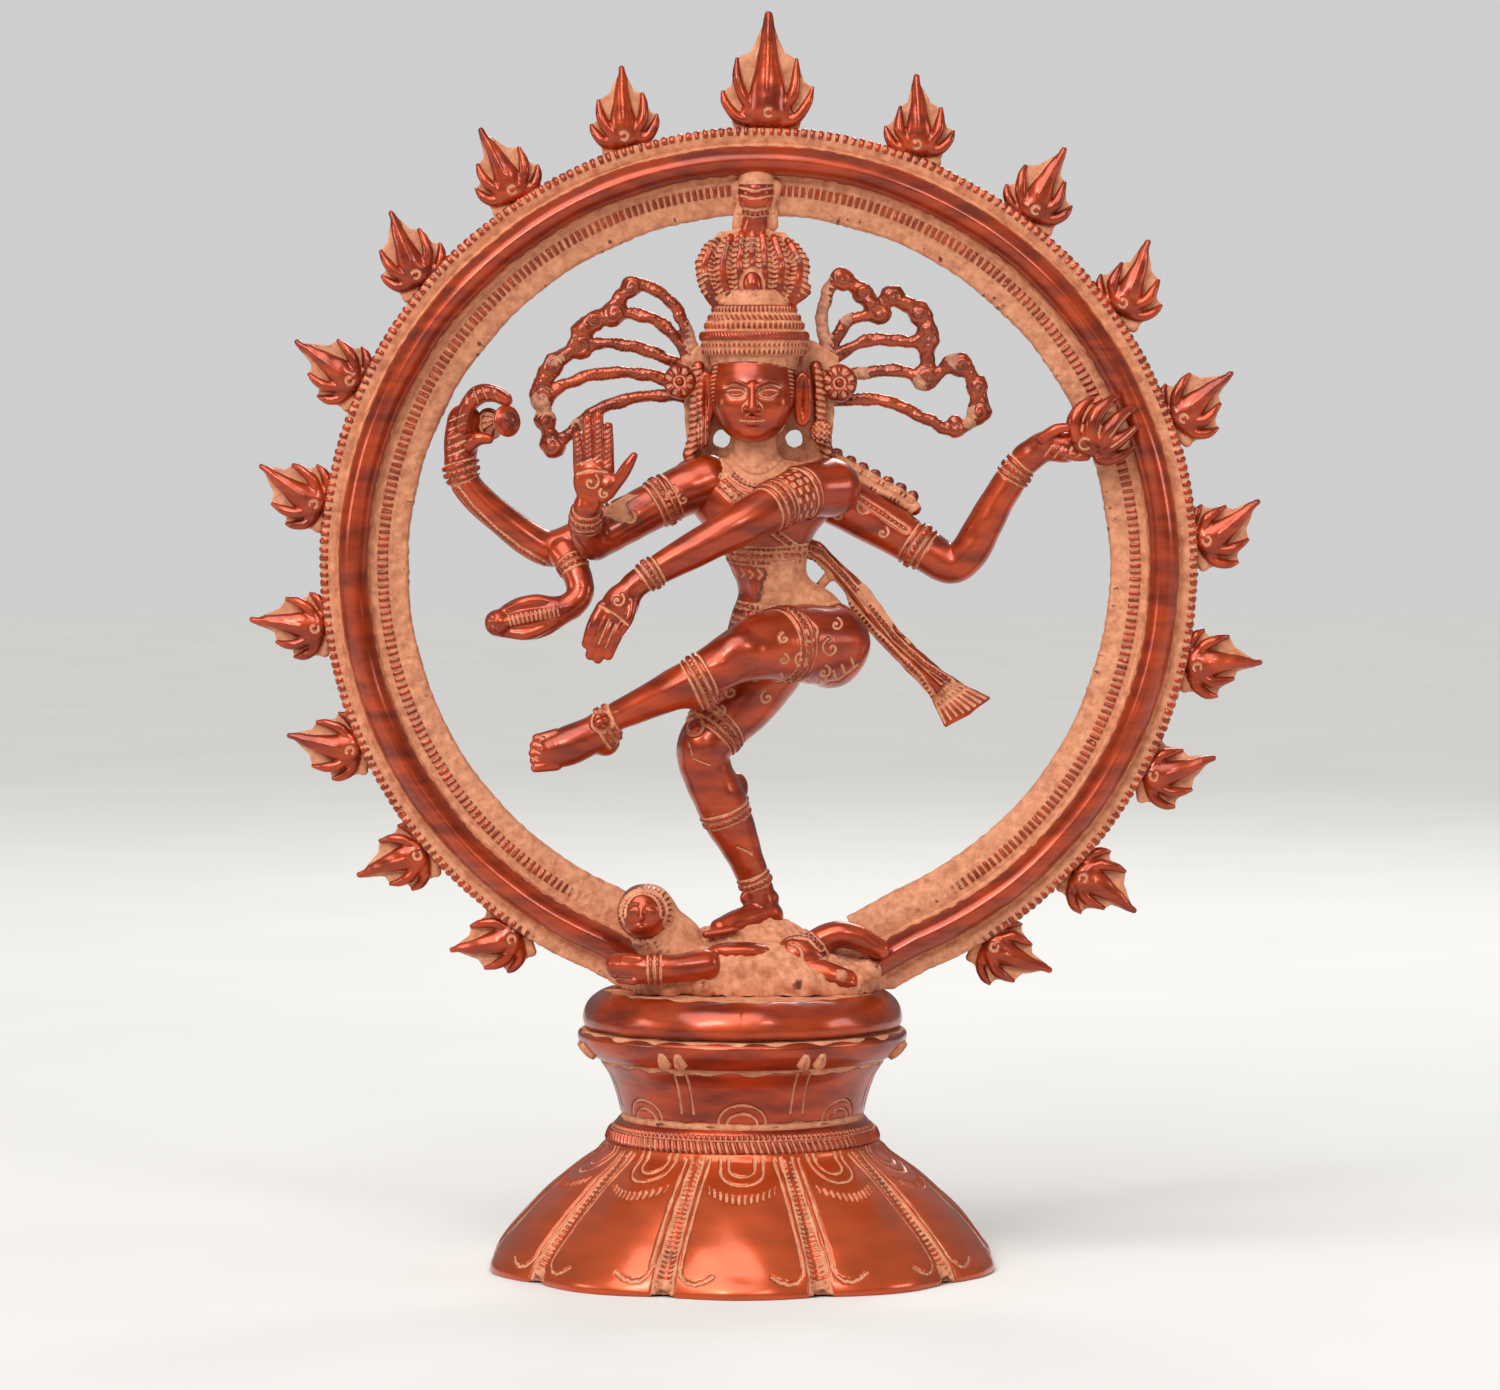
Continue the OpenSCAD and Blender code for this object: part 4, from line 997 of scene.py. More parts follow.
def flame_casting(seed, tip_lean, tall=24.5, wide=21.5, step=0.33):
    """One flame standing on z = 0, facing -Y, flat at the back."""
    rng = np.random.default_rng(seed)
    drawn_wide, drawn_tall = 21.5, 24.5
    k = wide / drawn_wide
    h = tall / drawn_tall
    wax = Wax((-wide * 0.66, -6.5, -4), (wide * 0.66, 3, tall + 2), step)
    tips = [(-10.2 * k, 8.2 * h), (-6.6 * k, 14.6 * h), (tip_lean, tall - 0.7), (6.4 * k, 15.0 * h),
        (10.0 * k, 8.6 * h)]
    tips = [(x + rng.uniform(-0.5, 0.5), z + rng.uniform(-0.7, 0.7)) if i != 2 else (x, z)
        for i, (x, z) in enumerate(tips)]
    web = [(-6.5 * k, -2.4), tips[0], (tips[0][0] * 0.8, tips[0][1] + 1.2 * h), tips[1],
        (tips[1][0] * 0.55 + tip_lean * 0.25, tips[1][1] + 1.5 * h), (tip_lean - 1.1, tall - 2.5),
        (tip_lean + 1.1, tall - 2.5), (tips[3][0] * 0.55 + tip_lean * 0.25, tips[3][1] + 1.5 * h),
        tips[3], (tips[4][0] * 0.8, tips[4][1] + 1.2 * h), tips[4], (6.5 * k, -2.4)]
    wax.sheet(web, -0.9, 1.4, 0.8, 0.0)
    wax.limb([(-6 * k, 0, -1.6, 1.5), (6 * k, 0, -1.6, 1.5)], 1.0, 0.0)
    for side, low_tip, high_tip in ((-1, tips[0], tips[1]), (1, tips[4], tips[3])):
        outer = smooth_line([(side * 3.0 * k, -1.2, 1.2 * h, 1.5), (side * 6.6 * k, -1.6, 2.4 * h, 1.7),
            (low_tip[0] * 0.9, -1.3, low_tip[1] * 0.66, 1.35), (low_tip[0], -0.7, low_tip[1], 0.5)], 0.8)
        wax.limb(outer, 0.25)
        inner = smooth_line([(side * 3.4 * k, -2.3, 4.4 * h, 1.6), (side * 5.6 * k, -2.4, 7.2 * h, 1.75),
            (high_tip[0] * 0.98, -2.0, high_tip[1] * 0.75, 1.4), (high_tip[0], -1.0, high_tip[1], 0.5)],
            0.8)
        wax.limb(inner, 0.25)
    middle = smooth_line([(0, -1.6, 4.4 * h, 4.3 * k), (0.1, -1.9, 8.0 * h, 3.9 * k),
        (tip_lean * 0.2, -1.9, 12.5 * h, 2.9 * k), (tip_lean * 0.5, -1.6, 17.5 * h, 1.9 * k),
        (tip_lean * 0.9, -1.2, tall - 3.5, 1.3 * k), (tip_lean, -0.8, tall - 0.9, 0.9 * k)], 0.8)
    wax.limb(middle, 0.25, 1.0, squash=(1, 0.75, 1))
    wax.ball((0, -1.6, 3.6 * h), (5.6 * k, 2.9, 3.9 * h), 1.0)
    wax.sheet([(-20, -9), (20, -9), (20, 40), (-20, 40)], 1.35, 9, 0.2, 0.2, cut=True)
    casting = Casting(wax, 1)
    x, y, z = casting.points.T
    casting.line(circle(0.4, 3.4 * h, 1.25, 0.9, 5.4, 10), 0.38, 0.45, -1.1)
    ridge = near_line(x, z, [(-0.2, 8 * h), (tip_lean * 0.6, 18 * h), (tip_lean, tall - 1)])
    casting.work(0.25 * step_down(0.1, 0.8, ridge) * casting.seen_from((0, -1, 0)))
    casting.weather(3.6, 8, 0.12, seed, 5)
    back = step_up(0.3, 0.8, casting.normals()[:, 1])
    casting.polish = casting.polish * (1 - 0.75 * back)
    return casting


flame_foot_y = arch_back - 3.8
flame_groups = (
    # piece, side, bearing from the top and lean back toward upright of each flame in degrees
    ("left_flames", -1,
     [(17.5 + 16.2 * i, lean) for i, lean in enumerate((10, 14, 22, 20, 22, 24, 32, 30, 40))]),
    ("right_flames", 1,
     [(21 + 17.2 * i - 0.15 * i * i, lean) for i, lean in enumerate((17, 19, 28, 31, 30, 24, 40, 18, 31))]),
)
flame_kinds = [flame_casting(70 + i, lean) for i, lean in enumerate((-1.6, 1.8, -2.4, 2.6))]
for name, side, flames in flame_groups:
    points, quads, polish, first = [], [], [], 0
    for i, (bearing, lean) in enumerate(flames):
        kind = flame_kinds[(i * 2 + (side > 0)) % 4]
        local = kind.points.copy()
        flip = 1 if i % 2 else -1
        local[:, 0] *= flip
        local[:, 2] *= 1 - 0.012 * i
        lean_angle = math.radians(side * -lean)
        bearing_angle = math.radians(side * bearing)
        lx = local[:, 0] * math.cos(lean_angle) + local[:, 2] * math.sin(lean_angle)
        lz = -local[:, 0] * math.sin(lean_angle) + local[:, 2] * math.cos(lean_angle)
        lz = np.maximum(lz + 0.9, -2.5) + arch_out_r - 0.6
        world_x = lx * math.cos(bearing_angle) + lz * math.sin(bearing_angle)
        world_z = -lx * math.sin(bearing_angle) + lz * math.cos(bearing_angle)
        points.append(np.stack([world_x, local[:, 1] + flame_foot_y, world_z + arch_z], -1))
        quads.append((kind.quads if flip > 0 else kind.quads[:, ::-1]) + first)
        polish.append(kind.polish)
        first += len(local)
    add_piece(name + "_casting", np.vstack(points), np.vstack(quads), np.concatenate(polish), red_casting,
        [name])

crest = flame_casting(80, 0.0, 35.0, 29.0, 0.34)
crest_angle = math.radians(1)
cz = crest.points[:, 2] + arch_out_r - 0.4
crest.points = np.stack([crest.points[:, 0] * math.cos(crest_angle) + cz * math.sin(crest_angle),
    crest.points[:, 1] + flame_foot_y, arch_z + cz * math.cos(crest_angle) - crest.points[:, 0]
    * math.sin(crest_angle)], -1)
crest.place("crest_flame", origin=(0, 0, 0))


# ---- Rock mound ----
# The rough rock cast on the plinth between the feet of the arch. It was never burnished, so it is
# all granular earthy patina with only its highest lumps rubbed.

rock_rng = np.random.default_rng(90)
wax = Wax((-44, -34, -0.4), (41, 20, 21), 0.5)
wax.limb([(-30, -9, 2.5, 8.5), (-10, -9, 3.5, 11), (12, -9, 3.5, 11), (26, -8, 2.5, 8.5)], 4, 0.05,
    (1, 1.55, 0.9))
wax.limb([(-24, -6, 8, 7.5), (-12, -6, 11, 8.5), (4, -5, 12, 8.5), (18, -4, 8, 7)], 4, 0.05, (1, 1.2, 1))
wax.limb([(-26, -20, 6, 5), (-12, -19, 8, 6.5), (3, -18, 8.5, 6.5), (12, -16, 7, 6)], 3, 0.05)
wax.limb([(-36, 0, 3, 6), (-30, 0, 9, 6)], 4, 0.05, (1, 0.9, 1))
wax.limb([(33, 0, 3, 6), (28, 0, 8, 5)], 4, 0.05, (1, 0.9, 1))
wax.limb([(-12, -8, 12, 6.5), (-4, -7, 14, 7), (6, -4, 14.5, 6.5), (11, -3, 11, 5.5)], 4, 0.05)
for _ in range(60):
    at = (rock_rng.uniform(-36, 34), rock_rng.uniform(-24, 8), rock_rng.uniform(1, 9))
    wax.ball(at, rock_rng.uniform(1.6, 3.6), 2.2, rock_rng.uniform(0, 0.3))
wax.sheet([(-60, -9), (60, -9), (60, 0.05), (-60, 0.05)], -60, 60, 0.1, 0.0, cut=True)
mound = Casting(wax, 1)
mound.weather(1.2, 10, 0.5, 91, 6)
mx, my, mz = mound.points.T
mound.work(0.35 * unevenness(mx, my, mz, 2.2, 92), 0.2 * unevenness(mx, my, mz, 5, 93))
mound.points[:, 2] = np.maximum(mound.of("z"), 0.03)
mound.place("rock_mound", "patinated_brass")


# ---- Dwarf ----
# The small prone figure under the standing foot, cast with the rock: a round head at the left with
# a beaded ring of hair, a forearm along the plinth, a hip with a boss, and two short legs.

wax = Wax((-46, -34, -0.4), (41, 2, 35), 0.36)
spine = smooth_line([(-33, -15, 17, 5.5), (-22, -12, 9, 6.8), (-6, -12, 8, 7.4), (8, -13, 8, 7.4),
    (15, -14, 9, 6.4)], 1.5)
wax.limb(spine, 1.5, 0.3)
wax.ball((-6, -20.5, 13.5), (9.5, 4.2, 2.6), 0.6, 0.95)
wax.ball((-34.5, -18, 24.5), (7.6, 7.4, 7.8), 1.2, 0.9)
wax.ball((-33.6, -14.6, 24.6), (8.6, 7.0, 8.4), 1.4, 0.15)
wax.limb([(-30, -12, 22, 6.5), (-24, -10, 15, 7.5)], 2.0, 0.1)
# A plain sleeping face of the carver's usual kind
wax.limb([(-34.8, -24.6, 26.5, 0.7), (-35.0, -26.2, 23.6, 1.1)], 0.8, 0.95)
for side in (-1, 1):
    wax.ball((-34.8 + side * 2.7, -24.4, 25.6), (1.6, 1.0, 0.9), 0.5, 0.95)
    wax.limb([(-34.8 + side * 1.2, -24.9, 27.6, 0.4), (-34.8 + side * 4.2, -24.0, 27.4, 0.35)], 0.4, 0.9)
wax.limb([(-36.4, -24.6, 21.2, 0.5), (-34.9, -25.2, 20.9, 0.7), (-33.2, -24.6, 21.2, 0.5)], 0.5, 0.95)
wax.curve([(-42, -22, 9, 3.8), (-34, -26, 8.4, 4.4), (-25, -26.5, 8.6, 4.2), (-16, -24, 9.4, 4.8)], 1,
    0.8)
for i in range(4):
    wax.limb([(-41.5 + i * 0.6, -25.5 - i * 0.3, 5.4 + i * 2.1, 1.25),
        (-37 + i * 0.6, -28.4, 5.2 + i * 2.1, 1.3)], 0.25, 0.9)
wax.ball((12, -15.5, 11.5), (7.4, 6.0, 6.4), 0.8)
wax.ball((3, -19, 8), (8, 4, 4.2), 1.2, 0.35)
wax.curve([(13, -18, 7, 4.4), (21, -19, 6, 3.8), (26, -19, 4.6, 3.3)], 1, 0.6, 0.95)
wax.curve([(14, -10, 12, 5), (22, -11, 17, 4.2), (29, -11, 16.5, 3.8), (36, -10.5, 13, 3.2)], 1, 0.6, 0.9)
for i in range(4):
    wax.ball((36.5 + i * 0.4, -12.5 + i * 1.6, 11.4), (1.5, 0.95, 1.0), 0.25, 0.9)
    wax.ball((28, -21.5 + i * 1.5, 3.6), (1.5, 0.95, 1.0), 0.25, 0.9)
wax.sheet([(-60, -9), (60, -9), (60, 0.05), (-60, 0.05)], -60, 60, 0.1, 0.0, cut=True)
dwarf = Casting(wax, 1)
dwarf.cord([(-34.2 + 7.9 * math.sin(a), 24.7 + 7.8 * math.cos(a)) for a in np.linspace(-2.0, 2.0, 24)],
    0.9, 0.5, 1.7)
dwarf.cord([(-34.5 + 6.1 * math.sin(a), 25 + 6.4 * math.cos(a)) for a in np.linspace(-1.7, 1.7, 18)], 0.5,
    0.3, 1.2)
forearm = [(-42, -22, 9), (-34, -26, 8.4), (-25, -26.5, 8.6), (-16, -24, 9.4)]
around_arm = dwarf.follow(forearm)
for at in (11.2, 13.2):
    dwarf.ring(around_arm, at, 1.3, 0.45, 12, reach=6.5)
dwarf.line([(9.5 + 3.4 * math.sin(a), 12 + 3.4 * math.cos(a)) for a in np.linspace(0, 5.6, 14)], 0.35,
    0.4)
dwarf.cord([(6.2, 17), (10, 18.4), (15, 17.6), (18.6, 14)], 0.6, 0.4, 1.4)
dwarf.weather(2.2, 14, 0.14, 95, 6)
dwarf.polish -= 0.7 * step_up(-9, -4, dwarf.of("y")) + 0.6 * step_down(1, 4, dwarf.of("z"))
dwarf.points[:, 2] = np.maximum(dwarf.of("z"), 0.03)
dwarf.place("dwarf")


# ---- Standing leg ----
# The leg that treads on the dwarf, bent at the knee. A beaded garter with a boss sits above the
# knee, a cord crosses the calf, an anklet rings the ankle, and curls are chased on the thigh.

standing_path = smooth_line([(3, -4, 100, 12.2), (-2, -6.5, 92, 11.2), (-7.5, -9.5, 85, 10.0),
    (-13, -12.2, 79, 8.8), (-16.6, -13.6, 73, 8.1), (-15.4, -12.4, 66, 7.6), (-12.2, -10.6, 59, 7.7),
    (-9, -8.2, 51, 7.1), (-6, -6.4, 44.5, 6.1), (-3.2, -4.8, 38, 5.2), (-0.6, -3.4, 31, 4.6),
    (0.6, -2.8, 26.5, 4.7)], 1.2)
wax = Wax((-27, -24, 15), (16.5, 9, 108), 0.36)
wax.limb(standing_path, 1.0)
wax.ball((-17.6, -18.6, 74), (4.6, 3.4, 5.0), 3.0)
wax.limb([(-12.5, -16.5, 66, 1.4), (-8.4, -12.6, 52, 1.4), (-3.2, -8.4, 38, 1.0)], 3.0)
wax.ball((-9.0, -3.4, 57), (5.0, 4.0, 9.0), 3.0, 1.0, (0, 22, 0))
wax.curve([(2.6, -1.8, 23, 4.4), (-1.5, -5.2, 22.4, 4.3), (-7, -9.4, 21, 3.9), (-11.5, -12.4, 19.8, 3.1)],
    1, 1.2, 1.0, (1, 1, 0.9))
wax.ball((3.6, -0.6, 21.4), (3.8, 3.8, 3.6), 1.5)
for side in (-1, 1):
    wax.ball((0.2 + side * 4.3, -3.6 + side * 0.8, 27.6), (1.6, 1.8, 1.9), 1.2)
for i in range(5):
    start = (-9.6 - i * 0.35 + 2.2, -15.0 + i * 1.75, 19.2, 1.35 - i * 0.06)
    end = (-15.8 + i * 0.55, -17.0 + i * 2.1, 17.9, 1.3 - i * 0.08)
    wax.limb([start, end], 0.3)
leg = Casting(wax, 1)
around = leg.follow(standing_path)
leg.rings(around, ((26.5, 1.1, 0.45, 0), (28.4, 1.8, 0.75, 26), (30.3, 1.1, 0.45, 0), (55.6, 1.1, 0.4, 0),
    (57.6, 1.5, 0.55, 24)), slant=0.8, reach=13)
leg.rings(around, ((78.0, 1.1, 0.4, 0), (79.8, 1.7, 0.7, 18)), reach=8)
boss = np.linalg.norm((leg.points - np.array((-19.6, -21.0, 80.5))) * (1, 0.5, 1), axis=1)
leg.work(1.0 * step_down(1.4, 2.6, boss) - 0.5 * step_down(0.1, 0.7, np.abs(boss - 3.0)),
    -0.8 * step_down(0.1, 0.6, np.abs(boss - 3.0)))
leg.curls(((-1.5, 95.5, 3.0, 1), (-8.5, 90.5, 2.5, -1), (2.6, 88.5, 2.2, -1), (-11.5, 84.5, 1.8, 1)), 0.3,
    0.3, 7.6, 26)
leg.line([(-21.6, 77), (-19.5, 70.5), (-14.5, 68.6)], 0.28, 0.22, -0.5)
leg.line([(-6.5, 43.8), (-2.0, 41.6)], 0.28, 0.25, -0.7)
for i in range(5):
    nail = near_line(leg.of("x"), leg.of("y"), [(-15.6 + i * 0.5, -17.4 + i * 2.1)] * 2)
    leg.work(0, -0.5 * step_down(0.15, 0.4, np.abs(nail - 0.9)) * (leg.of("z") < 20))
leg.weather(2.0, 16, 0.14, 97, 8)
leg.polish -= 0.75 * step_down(18.5, 22, leg.of("z")) * step_up(-12, -2, leg.of("y"))
leg.polish -= 0.2 * step_up(1.5, 6.0, leg.of("y"))
leg.place("standing_leg")


# ---- Raised leg ----
# The leg thrown across the body toward the left, with the thigh coming forward and the shin
# sweeping out to a turned foot. Two ringed bands cross the thigh and the shin, and a heavy double
# anklet with a boss sits on the ankle.

raised_path = smooth_line([(21, -6, 104, 12.2), (14, -13, 104.5, 11.8), (6, -20, 104.4, 10.9),
    (0, -25.5, 103.8, 9.6), (-6, -29, 101.8, 8.2), (-12, -31, 98.4, 7.2), (-19, -31.2, 94.6, 6.5),
    (-26, -30.4, 91.2, 5.9), (-33, -29.4, 87.8, 5.2), (-40, -28.2, 84.6, 4.5), (-46, -27.2, 81.6, 4.2)],
    1.2)
wax = Wax((-73, -41, 66), (34, 6, 119), 0.38)
wax.limb(raised_path, 1.0)
wax.ball((21, -3, 103.5), (9.6, 9, 12.6), 3.0)
wax.ball((-5.5, -34.6, 102.5), (5.6, 3.0, 5.0), 3.0)
wax.limb([(-12, -36.4, 99.0, 1.2), (-28, -34.4, 91.0, 1.1), (-40, -31.4, 84.8, 0.8)], 3.0)
wax.ball((-20, -28.5, 91.2), (8.5, 4.6, 4.8), 3.0, 1.0, (0, 26, 0))
wax.curve([(-46, -26.6, 80.0, 5.0), (-51, -27.4, 77.2, 5.6), (-56.5, -27.8, 74.8, 5.9),
    (-61, -27.8, 73.4, 5.2)], 1, 1.5, 1.0, (1, 0.9, 1))
wax.ball((-45.6, -24.6, 75.8), (4.4, 4.0, 4.2), 1.8)
for i in range(5):
    low = 68.8 + i * 2.2
    end = (-67.4 + abs(i - 2.4) * 0.5 + i * 0.25, -29.8 + i * 0.3, low - 0.5, 1.5 - 0.05 * abs(i - 4))
    wax.limb([(-60.0, -28.8, low + 0.6, 1.9), end], 0.3)
leg = Casting(wax, 1)
around = leg.follow(raised_path)
leg.rings(around, ((17.2, 1.2, 0.5, 0), (19.4, 2.0, 0.8, 34), (21.6, 1.2, 0.5, 0), (48.0, 1.1, 0.4, 0),
    (50.0, 1.7, 0.65, 24), (51.9, 1.1, 0.4, 0)), slant=0.7, reach=14)
leg.rings(around, ((79.0, 1.9, 0.9, 18), (81.6, 1.9, 0.9, 18)), reach=8)
boss = np.linalg.norm((leg.points - np.array((-46.5, -32.4, 82.4))) * (1, 0.5, 1), axis=1)
leg.work(1.2 * step_down(1.6, 2.8, boss) - 0.4 * step_down(0.1, 0.6, np.abs(boss - 3.2)),
    -0.8 * step_down(0.1, 0.6, np.abs(boss - 3.2)))
leg.curls(((14.5, 108.0, 3.4, 1), (21.5, 103.5, 3.0, -1), (13.0, 100.0, 2.6, -1), (23.0, 110.5, 2.0, 1),
    (19.5, 96.0, 2.2, 1), (7.5, 106.8, 1.7, -1), (7.4, 100.4, 1.7, 1)), 0.32, 0.32, 7.6, 26)
for i in range(9):
    x = 27.5 - i * 2.6
    leg.line([(x, 94.0 + 0.10 * (x - 14) ** 2 * 0.35), (x + 0.9, 91.4 + 0.10 * (x - 14) ** 2 * 0.35)],
        0.3, 0.3)
leg.line([(29.5, 98), (24, 93.6), (14, 91.8), (4, 93.4)], 0.3, 0.3, -0.8)
for i in range(5):
    leg.line([(-67.8 + i * 0.5, 69.2 + i * 2.2), (-65.8 + i * 0.5, 68.4 + i * 2.2)], 0.25, 0.22, -0.7)
leg.weather(2.0, 16, 0.15, 99, 9)
leg.polish -= 0.2 * step_up(-1.0, 4.0, leg.of("y"))
leg.place("raised_leg")


# ---- Torso ----
# The bare chest, narrow waist and hips, cast round the neck and shoulders. Beaded necklaces hang
# on the chest, a beaded cord crosses it, and two belts hold a patterned hip cloth.

torso_flat = (1, 0.78, 1)
wax = Wax((-30, -21, 90), (31, 10, 177), 0.38)


def flat_limb(points, melt=1.0, polish=1.0):
    """A limb of the trunk, squashed front to back round its own depth."""
    wax.limb(points, melt, polish, torso_flat)


flat_limb([(-7.5, -5, 147, 11.8), (8.5, -5, 146, 11.8)], 2)
flat_limb(smooth_line([(1, -5, 144, 13.4), (2, -5, 134, 12.6), (3.4, -5, 126, 10.6),
    (4.2, -4.6, 119, 10.4), (5.4, -4.4, 111, 12.4)], 1.5), 4)
flat_limb([(3, -4, 106, 12), (13, -4, 108, 14.4)], 5)
flat_limb([(-19, -3, 152.5, 7.4), (-8, -4, 149, 9.6)], 4)
flat_limb([(20, -3, 150.5, 7.4), (9, -4, 148, 9.6)], 4)
wax.limb([(-1, -3.6, 152, 8.4), (-1, -4.6, 160, 6.6), (-1.2, -4.6, 169, 6.4)], 3.5, 0.9)
for side, z in ((-1, 145.4), (1, 144.8)):
    wax.ball((0.8 + side * 6.6, -11.2, z), (6.4, 3.4, 5.2), 3.0)
    wax.ball((0.8 + side * 7.4, -15.0, z - 1.2), (0.9, 0.7, 0.9), 0.5)
wax.ball((4.0, -11.6, 123.0), (6.2, 3.0, 7.4), 3.5)
wax.ball((4.0, -15.6, 119.6), (1.5, 1.6, 1.2), 0.8, 0.5, cut=True)
torso = Casting(wax, 1)


def hanging(x0, x1, z0, z1, sag, count=18):
    """(x, z) points of a cord that hangs between two ends."""
    t = np.linspace(0, 1, count)
    return [(x0 + (x1 - x0) * a, z0 + (z1 - z0) * a - sag * (1 - (2 * a - 1) ** 2)) for a in t]


for x0, x1, z0, sag, wide, pitch in ((-8.2, 6.4, 160.5, 4.4, 0.9, 1.7),
        (-11.2, 9.6, 159.0, 7.2, 0.75, 1.4), (-13.8, 12.4, 157.2, 9.8, 1.0, 1.9)):
    torso.cord(hanging(x0, x1, z0, z0 - 0.4, sag), wide, 0.6, pitch)
for i in range(13):
    x = -7.5 + i * 1.15
    z = 157.2 - 9.8 * (1 - (2 * (x + 13.8) / 26.2 - 1) ** 2) - 2.6
    torso.line([(x, z + 0.9), (x + 0.1, z - 0.9)], 0.3, 0.35)
torso.cord([(-11.5, 151.5), (-4.0, 145.0), (3.5, 138.6), (9.5, 134.0), (13.6, 131.6)], 0.7, 0.5, 1.5)
for z, sag, wide, pitch in ((133.6, 1.4, 0.6, 1.5), (131.8, 1.4, 0.95, 2.0), (130.0, 1.4, 0.6, 1.5)):
    torso.cord(hanging(-12, 17, z, z, sag), wide, 0.6, pitch)
    torso.cord(hanging(-12, 17, z, z, sag), wide, 0.5, pitch, side=(0, 1, 0))
for z, sag, wide, pitch in ((116.6, 2.2, 0.65, 1.5), (114.4, 2.4, 1.1, 2.2), (112.1, 2.6, 0.65, 1.5)):
    torso.cord(hanging(-9, 26, z, z + 0.8, sag), wide, 0.6, pitch)
    torso.cord(hanging(-9, 26, z, z + 0.8, sag), wide, 0.5, pitch, side=(0, 1, 0))
for i in range(12):
    x = -8.5 + i * 2.7
    torso.line([(x, 126.6 + 0.5 * math.sin(i * 2.1)), (x + 1.3, 125.2), (x + 0.4, 124.0)], 0.28, 0.28,
        -0.6)
torso.curls(((-3.5, 106.5, 2.5, 1), (2.5, 108.0, 2.2, -1), (8.0, 106.0, 2.4, 1), (24.0, 108.0, 2.2, -1)),
    0.3, 0.32, 7.6, 24)
for i in range(15):
    x = -12 + i * 2.7
    torso.line([(x, 109.5), (x + 1.2, 104.5), (x + 0.8, 99.0)], 0.35, 0.4, side=(0, 1, 0))
torso.weather(2.2, 16, 0.14, 101, 9)
tx, ty, tz = torso.points.T
patchy = unevenness(tx, ty, tz, 7, 103)
torso.polish -= 0.9 * step_up(150.5, 153.5, tz - 0.25 * np.abs(tx) + 1.8 * patchy) * (np.abs(tx) < 17)
torso.polish -= 0.22 * step_up(1.0, 4.0, ty) * (tz > 112)
torso.polish -= 0.8 * step_down(6.5, 10, np.abs(tz - 121) + 2.6 * patchy) * step_up(-5, 3,
    tx - 1.5 * patchy)
torso.place("torso")


# ---- Nape plate ----
# A thin web of metal left behind the neck when the figure was cast. It ties the head, the hair and
# the shoulders together, keeps its patina, and is pierced by a round hole on each side of the neck.

wax = Wax((-28, -2.5, 147), (28, 7.5, 199), 0.4)
wax.sheet([(-25, 150), (-22.5, 158), (-21.5, 164), (-22.5, 176), (-23, 190), (-14, 196), (14, 196),
    (24, 190), (22.5, 176), (21.5, 164), (22, 158), (25, 150)], 0.5, 4.6, 1.0, 0.1)
wax.limb([(-12, 1.5, 160.5, 2.2), (0, 0.8, 159.5, 2.4), (11, 1.5, 160.5, 2.2)], 1.5, 0.1)
hole_r = 2.75
for x, z in ((-11.2, 165.5), (10.6, 165.5)):
    hole = [(x + hole_r * math.cos(a), z + hole_r * math.sin(a))
        for a in np.linspace(0, 2 * math.pi, 24, endpoint=False)]
    wax.sheet(hole, -6, 10, 0.5, 0.0, cut=True)
nape = Casting(wax, 1)
nape.weather(1.5, 10, 0.22, 107, 5)
nx, ny, nz = nape.points.T
nape.work(0.18 * unevenness(nx, ny, nz, 2.4, 109), 0.15 * unevenness(nx, ny, nz, 4, 111))
for z in (173, 178, 183, 188):
    nape.line([(-19, z), (0, z - 2.5), (19, z)], 0.35, 0.3, -0.4, side=(0, 1, 0))
nape.place("nape_plate", "patinated_brass")


# ---- Head ----
# The head is cast with its headband and the foot of the crown. The face is a plain calm one on the
# usual workshop proportions: brows a third of the way down, the base of the nose at two thirds, and
# the eyes one eye's width apart.

